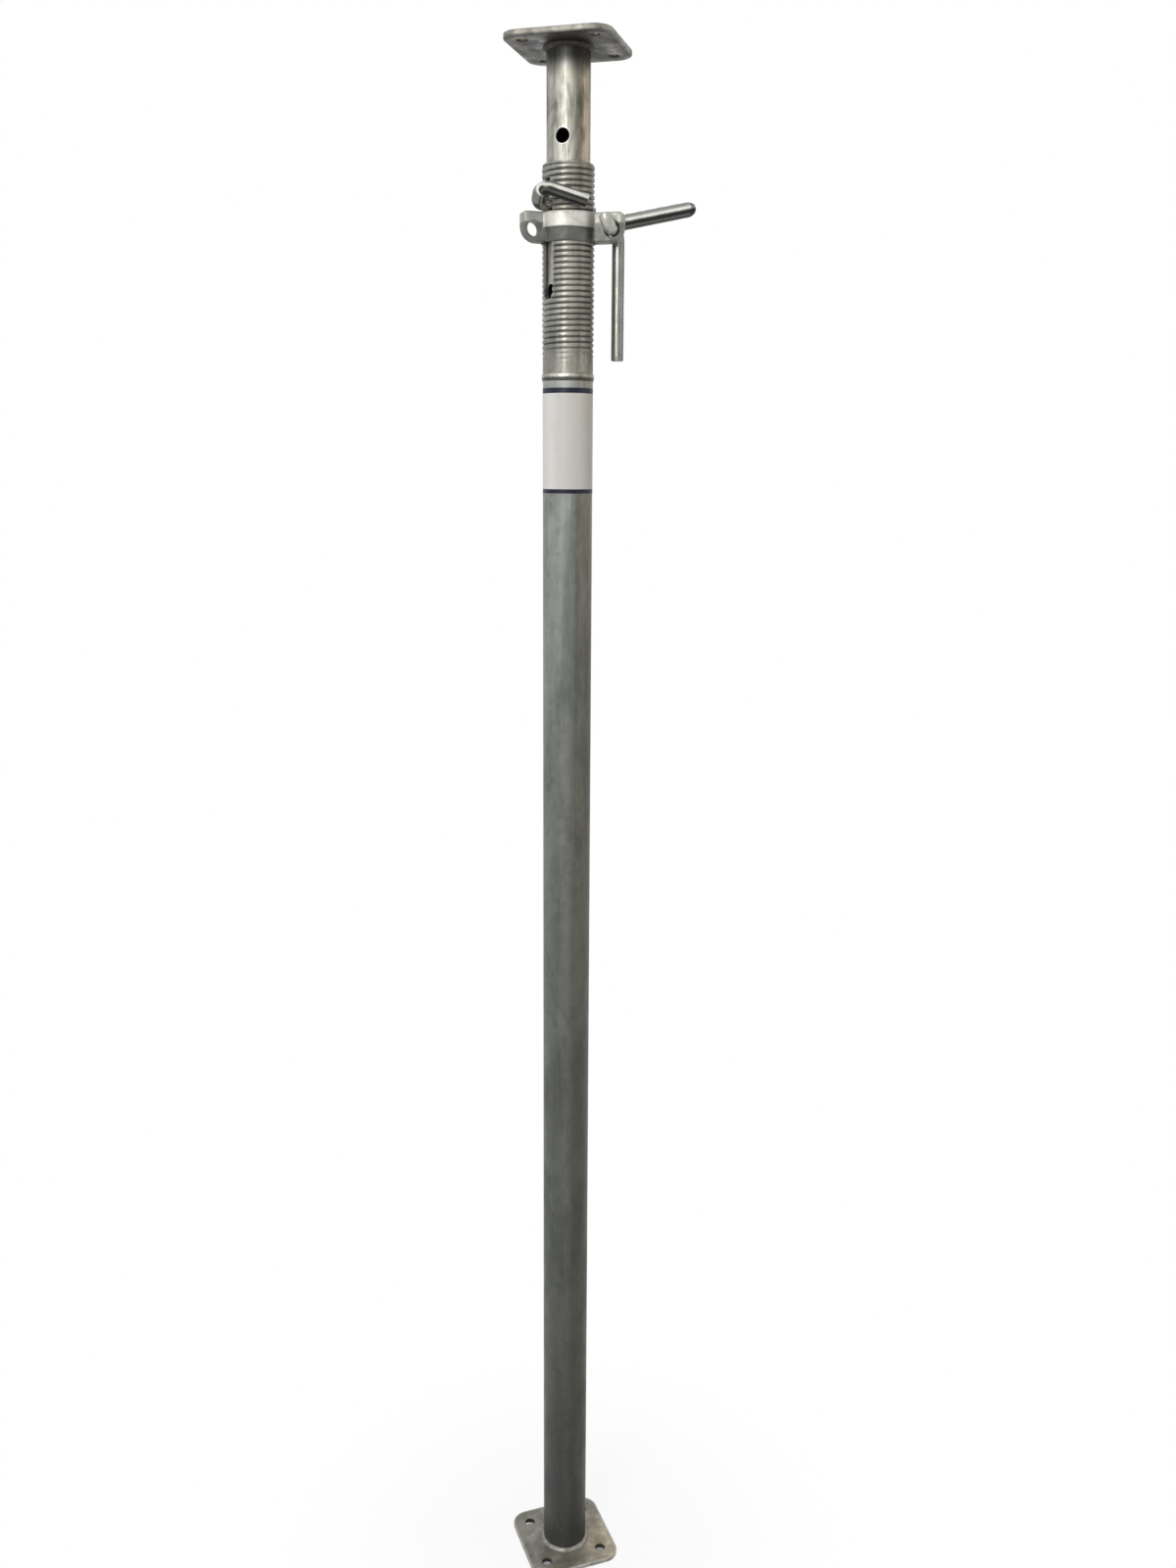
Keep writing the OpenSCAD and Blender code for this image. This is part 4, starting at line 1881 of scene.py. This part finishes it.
@dataclass
class SwingHandle:
    """Handle that hangs in an ear's eye: a leg, a crosspiece through the eye, and a hook.

    Its places are counted from the nut's axis at the height of the eyes, in the plan of
    the ear. The leg and the hook stand the bends' radius and a gap clear of the ear.
    """

    levels: Levels
    finish: Zinc
    at: float = 52.0
    gap: float = 1.2
    drop: float = 137.0
    hook_at: float = 46.6
    hook_rise: float = 13.8
    # the hook's painted highlight and shade lines fade into one bright tone here
    even: tuple[float, float, float] = (166.0, 230.0, 0.38)

    def build(self) -> bpy.types.Object:
        """Bend the rod from the leg's end through the eye to the hook's end.

        Returns:
            The handle.
        """
        lv, far = self.levels, EAR_THICK / 2.0 + self.gap + BEND
        leg = [[self.at, far, -self.drop], [self.at, far, 0.0]]
        hook = [[self.at, -far, 0.0], [self.hook_at, -far, self.hook_rise]]
        names, shift = ("hang_handle", "swing_handle"), (0.0, 0.0, lv.nut_low + EYE_RISE)
        side, corners = (1.0, 0.0, 0.0), np.array(leg + hook)
        rod = Rod(*names, corners, Body.HANDLE, self.finish, lv.ear_dir, shift, side, self.even)
        return rod.build()


@dataclass
class Hidden:
    """Solids of the frame that stay as they are and get a finish."""

    finish: Zinc
    nodes: tuple[str, ...] = ("joint_sleeve", "stop_collar")

    def build(self) -> None:
        """Give each solid the finish."""
        material = self.finish.build()
        for name in self.nodes:
            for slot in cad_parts[name].material_slots:
                slot.material = material
            LOG.info("%s: finished", name)


# ---- stage ------------------------------------------------------------------------
def stand(
    name: str, data: bpy.types.ID, x: Array, y: Array, z: Array, place: Sequence[float]
) -> bpy.types.Object:
    """Put a camera or a lamp at a place, turned so that its axes lie along three directions.

    Args:
        name: Name of the object.
        data: The camera or the lamp, which looks along its -Z.
        x: Direction of its X axis.
        y: Direction of its Y axis.
        z: Direction of its Z axis.
        place: Its place in metres.

    Returns:
        The object.
    """
    matrix = np.eye(4)
    matrix[:3] = np.stack([x, y, z, place], -1)
    made = placed(name, data)
    made.matrix_world = Matrix(matrix.tolist())
    return made


@dataclass(frozen=True)
class Viewpoint:
    """Camera on the side of the prop, a little below its head and looking down.

    Attributes:
        azimuth: Direction from the camera to the prop's axis, turned from +Y.
        distance: Distance from the axis in metres.
        height: Height above the floor in metres.
        pitch: How far it looks down, in degrees.
        yaw: How far it looks past the axis, in degrees.
        roll: How far it is tilted, in degrees.
        lens: Focal length for a sensor of 36 mm on the long side.
    """

    azimuth: float = -18.928
    distance: float = 1.6361
    height: float = 1.4426
    pitch: float = 12.839
    yaw: float = 0.903
    roll: float = 0.363
    lens: float = 31.80

    def build(self) -> None:
        """Make the camera from its forward, right and up directions.

        With right = (cos a, sin a, 0) and up = right x forward, the roll r turns them to
        right cos r + up sin r and up cos r - right sin r.
        """
        a, p, r = (math.radians(v) for v in (self.azimuth - self.yaw, self.pitch, self.roll))
        right = np.array([math.cos(a), math.sin(a), 0.0])
        level = np.array([-math.sin(a), math.cos(a), 0.0])
        forward = level * math.cos(p) - np.array([0.0, 0.0, math.sin(p)])
        up = np.cross(right, forward)
        x = math.cos(r) * right + math.sin(r) * up
        y = math.cos(r) * up - math.sin(r) * right
        b = math.radians(self.azimuth)
        place = (math.sin(b) * self.distance, -math.cos(b) * self.distance, self.height)
        data = bpy.data.cameras.new("view")
        data.lens, data.sensor_width, data.sensor_fit = self.lens, 36.0, "AUTO"
        data.clip_start, data.clip_end = 0.05, 100.0
        bpy.context.scene.camera = stand("view", data, x, y, -forward, place)


@dataclass(frozen=True)
class Lamp:
    """Soft area lamp aimed at a point of the prop."""

    name: str
    place: Point
    aim: Point
    size: tuple[float, float]
    power: float
    colour: RGB = (1.0, 1.0, 1.0)

    def build(self) -> None:
        """Make the lamp, with its -Z along the aim."""
        data = bpy.data.lights.new(self.name, "AREA")
        data.shape = "RECTANGLE"
        data.size, data.size_y = self.size
        data.energy, data.color = self.power, self.colour
        back = unit(np.subtract(self.place, self.aim))
        right = unit(np.cross([0.0, 0.0, 1.0], back))
        stand(self.name, data, right, np.cross(back, right), back, self.place)


@dataclass(frozen=True)
class Studio:
    """Plain pale floor and surroundings, and soft lamps.

    Attributes:
        level: Strength of the surroundings where they light the prop.
        tint: Their colour there.
        below: Height of the floor in millimetres.
        radii: Radii in millimetres of the rings that the floor is made of.
        lamps: The lamps.
    """

    level: float = 0.44
    tint: RGB = (0.97, 0.985, 1.0)
    below: float = -0.3
    radii: tuple[float, ...] = (0.0, 200.0, 600.0, 2000.0, 30000.0)
    lamps: tuple[Lamp, ...] = (
        Lamp("key", (-1.55, -1.75, 2.35), (0.0, 0.0, 1.15), (1.1, 1.6), 34.0, (1.0, 0.99, 0.97)),
        Lamp("fill", (1.9, -1.1, 1.5), (0.0, 0.0, 0.95), (0.8, 1.6), 4.0, (1.0, 0.94, 0.86)),
        Lamp("back", (0.9, 2.0, 2.3), (0.0, 0.0, 1.0), (1.0, 1.4), 12.0),
    )

    @staticmethod
    def seen(g: Graph) -> Socket:
        """Rays that show the surroundings and the floor as plain white.

        Args:
            g: The graph that the value is for.

        Returns:
            1 for rays from the camera, from a mirror surface or through glass.
        """
        path = g.add("ShaderNodeLightPath").outputs
        seen = g.larger(path["Is Camera Ray"], path["Is Glossy Ray"])
        return g.larger(seen, path["Is Transmission Ray"])

    @staticmethod
    def spot(g: Graph) -> tuple[Socket, Socket]:
        """Tones of the floor by the distance from the axis.

        Args:
            g: The floor's material.

        Returns:
            How far the floor is plain white, all of it further out, and its grey, with a
            painted shadow under the plate.
        """
        length = g.add("ShaderNodeVectorMath")
        length.operation = "LENGTH"
        place = g.add("ShaderNodeTexCoord").outputs["Object"]
        away = g.fill(length, {0: place}).outputs["Value"]
        around = g.band(away, 0.06, 0.42, 0.88, 1.0)
        # painted shadow on the floor under the plate, seen through its holes
        under = g.band(away, 0.0575, 0.0605, 0.22, 1.0, eased=False)
        return g.math("MINIMUM", around, under), g.times(under, 0.9)

    def surroundings(self) -> None:
        """White where it is seen, and a plain light level where it lights."""
        world = bpy.data.worlds.new("surroundings")
        g = Graph(world)
        lit = g.add("ShaderNodeBackground", {"Color": self.tint, "Strength": self.level})
        white = g.add("ShaderNodeBackground", {"Color": (1.0, 1.0, 1.0), "Strength": 1.0})
        sides = {0: self.seen(g), 1: lit.outputs[0], 2: white.outputs[0]}
        mix = g.add("ShaderNodeMixShader", sides)
        g.add("ShaderNodeOutputWorld", {"Surface": mix.outputs[0]})
        bpy.context.scene.world = world

    def floor(self) -> None:
        """A wide pale disc under the foot plate that keeps a faint shadow."""
        r = np.array(self.radii)
        grid = lathe(np.stack([r, np.full_like(r, self.below)], -1), 64)
        faces = Skin(grid, wrap_cols=False).faces()[:, ::-1]
        mesh = bpy.data.meshes.new("floor")
        mesh.from_pydata((grid.reshape(-1, 3) * MM).tolist(), [], faces.tolist())
        plate = placed("floor", mesh)
        paint = bpy.data.materials.new("pale_floor")
        g = Graph(paint)
        plain, grey = self.spot(g)
        matt = g.add("ShaderNodeBsdfDiffuse", {"Color": grey})
        glow = g.add("ShaderNodeEmission", {"Color": (1.0, 1.0, 1.0)})
        sides = {0: g.times(self.seen(g), plain), 1: matt.outputs[0], 2: glow.outputs[0]}
        mix = g.add("ShaderNodeMixShader", sides)
        g.add("ShaderNodeOutputMaterial", {"Surface": mix.outputs[0]})
        mesh.materials.append(paint)

    def build(self) -> None:
        """Make the floor, the surroundings and the lamps."""
        self.surroundings()
        self.floor()
        for lamp in self.lamps:
            lamp.build()


# ---- finishes of this prop --------------------------------------------------------
TUBE = Zinc(
    "tube_zinc_dull",
    light=(0.285, 0.30, 0.28),
    dark=(0.178, 0.19, 0.173),
    metallic=0.35,
    smooth=0.42,
    rough=0.62,
    cloud=17.0,
    stretch=(1.0, 1.0, 0.35),
    streak=0.06,
    spangle=0.12,
    grain=0.18,
    lump=0.16,
    # painted shade: the tube darkens towards the floor
    fade=((0.0, 0.18), (0.3, 0.3), (0.6, 0.385), (0.95, 0.52), (1.5, 1.0)),
    scratch=0.12,
    stain=0.14,
    # painted light and shade round the tube
    around=(
        (-180.0, (0.9, 0.88, 0.84)),
        (-95.0, (1.25, 1.25, 1.25)),
        (-48.0, (1.2, 1.2, 1.2)),
        (-24.0, (0.98, 0.98, 0.98)),
        (4.0, (1.0, 1.0, 1.0)),
        (22.0, (0.72, 0.69, 0.63)),
        (50.0, (0.74, 0.68, 0.58)),
        (95.0, (0.95, 0.87, 0.74)),
        (180.0, (0.9, 0.88, 0.84)),
    ),
)
THREAD = Zinc(
    "thread_zinc_rubbed",
    light=(0.37, 0.365, 0.335),
    dark=(0.23, 0.23, 0.205),
    metallic=0.6,
    smooth=0.3,
    rough=0.52,
    cloud=38.0,
    streak=0.14,
    wear=0.5,
    scratch=0.2,
    stain=0.2,
    lips=(Lip((0.0, 0.0, 1688.5), SLOT_DIR, HOLE_R, length=111.0, width=1.2, light=0.35),),
    # painted light and shade round the threaded tube
    around=(
        (-180.0, (0.8, 0.79, 0.76)),
        (-80.0, (0.8, 0.8, 0.78)),
        (-30.0, (0.85, 0.85, 0.83)),
        (6.0, (1.05, 1.05, 1.0)),
        (28.0, (0.72, 0.70, 0.65)),
        (60.0, (0.56, 0.53, 0.47)),
        (100.0, (0.62, 0.58, 0.51)),
        (180.0, (0.8, 0.79, 0.76)),
    ),
    # painted shade in the tube's bore and on the slot's cut faces
    bore=(27.4, 27.9, 0.12),
    # painted shade in the thread's grooves
    groove=0.22,
)
PLATE = Zinc(
    "plate_zinc_dull",
    light=(0.235, 0.228, 0.198),
    dark=(0.15, 0.144, 0.12),
    metallic=0.4,
    smooth=0.36,
    rough=0.6,
    cloud=30.0,
    stretch=(1.0, 1.0, 1.0),
    streak=0.0,
    spangle=0.12,
    lump=0.2,
    wear=0.85,
    stain=0.25,
    # painted shade in inner corners
    crease_shade=0.4,
    # painted shade on the plate's edge faces
    step_at=4.4,
    step_tone=0.45,
    # painted shade ring round the fixing holes
    rings=tuple((x, y, 6.0) for x, y in four(FOOT_BOLT)),
    plate_rim=(0.0, PLATE_SIDE, PLATE_CORNER, 0.5),
    # painted light and shade round the foot plate
    around=(
        (-180.0, (0.95, 0.95, 0.93)),
        (-60.0, (0.88, 0.88, 0.88)),
        (-20.0, (1.32, 1.32, 1.26)),
        (20.0, (1.25, 1.22, 1.14)),
        (70.0, (1.35, 1.20, 1.02)),
        (180.0, (0.95, 0.95, 0.93)),
    ),
)
# painted shade: darker colours than the foot plate, for the head plate's shaded underside
HEAD = Zinc(
    "head_zinc_dark",
    light=(0.25, 0.234, 0.188),
    dark=(0.108, 0.095, 0.068),
    metallic=0.4,
    smooth=0.36,
    rough=0.6,
    cloud=26.0,
    stretch=(1.0, 1.0, 1.0),
    streak=0.0,
    spangle=0.2,
    lump=0.2,
    wear=0.75,
    stain=0.4,
    # painted shade in inner corners
    crease_shade=0.4,
    # painted shade on the plate's underside
    step_at=1886.4,
    step_tone=0.28,
    # painted shadow round the tube under the plate
    bore=(26.0, 58.0, 0.24),
    plate_rim=(HEAD_TURN, PLATE_SIDE, PLATE_CORNER, 0.3),
)
INNER = Zinc(
    "inner_zinc_bright",
    light=(0.53, 0.525, 0.475),
    dark=(0.19, 0.185, 0.155),
    metallic=0.65,
    smooth=0.38,
    rough=0.6,
    cloud=48.0,
    stretch=(1.0, 1.0, 0.3),
    streak=0.4,
    scratch=0.35,
    stain=0.45,
    # painted shadow of the head plate on the tube's upper end
    fade=((1.848, 1.0), (1.874, 0.09)),
    lips=(
        Lip((0.0, 0.0, 1793.0), HEAD_TURN - 90.0, HOLE_R),
        Lip((0.0, 0.0, 1723.8), SLOT_DIR, HOLE_R),
    ),
    # painted light, painted shade and painted reflection bands round the inner tube
    around=(
        (-180.0, (0.7, 0.69, 0.66)),
        (-85.0, (0.68, 0.68, 0.67)),
        (-50.0, (0.86, 0.86, 0.85)),
        (-28.0, (1.0, 1.0, 0.98)),
        (5.0, (1.2, 1.19, 1.15)),
        (23.0, (0.52, 0.50, 0.44)),
        (34.0, (0.54, 0.50, 0.43)),
        (50.0, (1.02, 0.88, 0.70)),
        (76.0, (0.84, 0.74, 0.60)),
        (105.0, (0.66, 0.64, 0.59)),
        (180.0, (0.7, 0.69, 0.66)),
    ),
    # painted shade in the inner tube's bore
    bore=(23.4, 23.9, 0.06),
)
CAST = Zinc(
    "nut_zinc_cast",
    light=(0.74, 0.74, 0.685),
    dark=(0.55, 0.55, 0.50),
    metallic=0.4,
    smooth=0.42,
    rough=0.62,
    cloud=60.0,
    stretch=(1.0, 1.0, 1.0),
    streak=0.0,
    grain=0.4,
    lump=0.35,
    # painted shade in inner corners
    crease_shade=0.55,
    # painted shade on the nut's lower band, which faces down
    step_at=1700.0,
    step_tone=0.175,
    # painted shade on the lugs, and painted light on their upper parts
    beyond=(33.8, 34.6, 0.24),
    crown=(1704.0, 1706.5, 0.6),
    # painted shade on the side of the ring turned away
    facing=(-138.9, 0.22, 0.5, 0.42),
    # painted light and shade round the nut
    around=(
        (-180.0, (0.85, 0.85, 0.85)),
        (-100.0, (0.9, 0.9, 0.9)),
        (0.0, (1.0, 1.0, 1.0)),
        (75.0, (1.2, 1.2, 1.16)),
        (180.0, (0.85, 0.85, 0.85)),
    ),
)
ROD = Zinc(
    "rod_zinc_plated",
    light=(0.86, 0.86, 0.82),
    dark=(0.66, 0.66, 0.62),
    metallic=0.85,
    smooth=0.16,
    rough=0.32,
    cloud=55.0,
    streak=0.05,
    spangle=0.05,
    grain=0.1,
    lump=0.12,
    wear=0.0,
    scratch=0.1,
    # painted highlight and painted shade lines along the pin
    bands=(
        (-1.0, 0.05), (-0.75, 0.015), (-0.58, 0.04), (-0.48, 0.11), (-0.34, 0.13), (-0.2, 0.08),
        (-0.05, 0.045), (0.1, 0.07), (0.2, 0.3), (0.3, 1.0), (0.66, 1.0), (0.8, 0.45),
        (1.0, 0.25),
    ),
)
LEG = replace(
    ROD,
    name="leg_zinc_plated",
    light=(0.62, 0.62, 0.58),
    dark=(0.44, 0.44, 0.405),
    metallic=0.35,
    # painted highlight and painted shade lines along the handle
    bands=(
        (-1.0, 0.5), (-0.8, 0.38), (-0.6, 0.31), (-0.3, 0.31), (-0.1, 0.48), (0.1, 0.68),
        (0.34, 0.82), (0.42, 0.82), (0.45, 0.2), (0.5, 0.2), (0.54, 0.42), (0.75, 0.45),
        (0.9, 0.32), (0.97, 0.26), (1.0, 0.42),
    ),
)
BAR = replace(
    ROD,
    name="bar_zinc_plated",
    light=(0.92, 0.92, 0.88),
    dark=(0.76, 0.76, 0.72),
    # painted highlight and painted shade lines along the bar
    bands=(
        (-1.0, 0.07), (-0.85, 0.045), (-0.7, 0.025), (-0.58, 0.08), (-0.46, 0.14), (-0.34, 0.1),
        (-0.22, 0.02), (0.12, 0.035), (0.26, 0.5), (0.38, 1.0), (0.5, 1.0), (0.6, 0.6),
        (0.72, 0.36), (1.0, 0.26),
    ),
    # painted shade towards the bar's tip
    beyond=(148.0, 151.0, 0.3),
)
WELD = Zinc(
    "weld_zinc",
    light=(0.32, 0.315, 0.285),
    dark=(0.18, 0.175, 0.15),
    metallic=0.55,
    smooth=0.25,
    rough=0.5,
    cloud=80.0,
    streak=0.0,
    grain=0.3,
    lump=0.3,
    wear=0.5,
    stain=0.25,
    # painted shade in inner corners
    crease_shade=0.4,
)
SEAM = replace(
    WELD,
    name="seam_zinc",
    light=(0.60, 0.59, 0.54),
    dark=(0.42, 0.41, 0.37),
    stain=0.1,
    # painted light and shade round the seam bead
    around=(
        (-180.0, (0.6, 0.6, 0.58)),
        (-60.0, (0.7, 0.7, 0.7)),
        (-30.0, (1.0, 1.0, 0.99)),
        (8.0, (1.0, 1.0, 0.97)),
        (24.0, (0.55, 0.53, 0.48)),
        (90.0, (0.55, 0.52, 0.47)),
        (180.0, (0.6, 0.6, 0.58)),
    ),
    # painted highlight on the bead's top and painted shade under it
    bands=((-1.0, 0.16), (-0.45, 0.14), (-0.1, 0.3), (0.1, 1.0), (0.7, 1.0), (1.0, 0.4)),
)
# painted shadow: the weld under the head plate is nearly black
HEAD_WELD = replace(
    WELD,
    name="head_weld_zinc",
    light=(0.04, 0.036, 0.028),
    dark=(0.016, 0.014, 0.010),
    metallic=0.15,
    smooth=0.55,
    rough=0.75,
    wear=0.05,
)


def main() -> None:
    """Build the scene in order."""
    logging.basicConfig(level=logging.INFO, format="%(name)s: %(message)s")
    bpy.context.scene.view_settings.view_transform = "Standard"
    Viewpoint().build()
    Studio().build()
    lv = Levels.read()
    Plate("foot_plate", "base_plate", 0.0, Body.OUTER, PLATE, 2.0 * FOOT_BOLT).build()
    Plate("top_plate", "head_plate", lv.head, Body.INNER, HEAD, 2.0 * HEAD_BOLT, HEAD_TURN).build()
    foot_weld = ("foot_bead", "base_weld", lv.outer_r, PLATE_THICK, WELD_LEG, Body.OUTER, WELD)
    head_weld = ("top_bead", "head_weld", lv.inner_r, lv.head, WELD_LEG, Body.INNER, HEAD_WELD)
    Bead(*foot_weld).build()
    Bead(*head_weld, up=-1.0, ripples=50, seed=9).build()
    OuterTube(lv, TUBE, THREAD, SEAM, Foil()).build()
    InnerTube(lv, INNER).build()
    Nut(lv, CAST, BAR, WELD).build()
    BentPin(lv, ROD).build()
    SwingHandle(lv, LEG).build()
    Hidden(WELD).build()


if __name__ == "__main__":
    main()
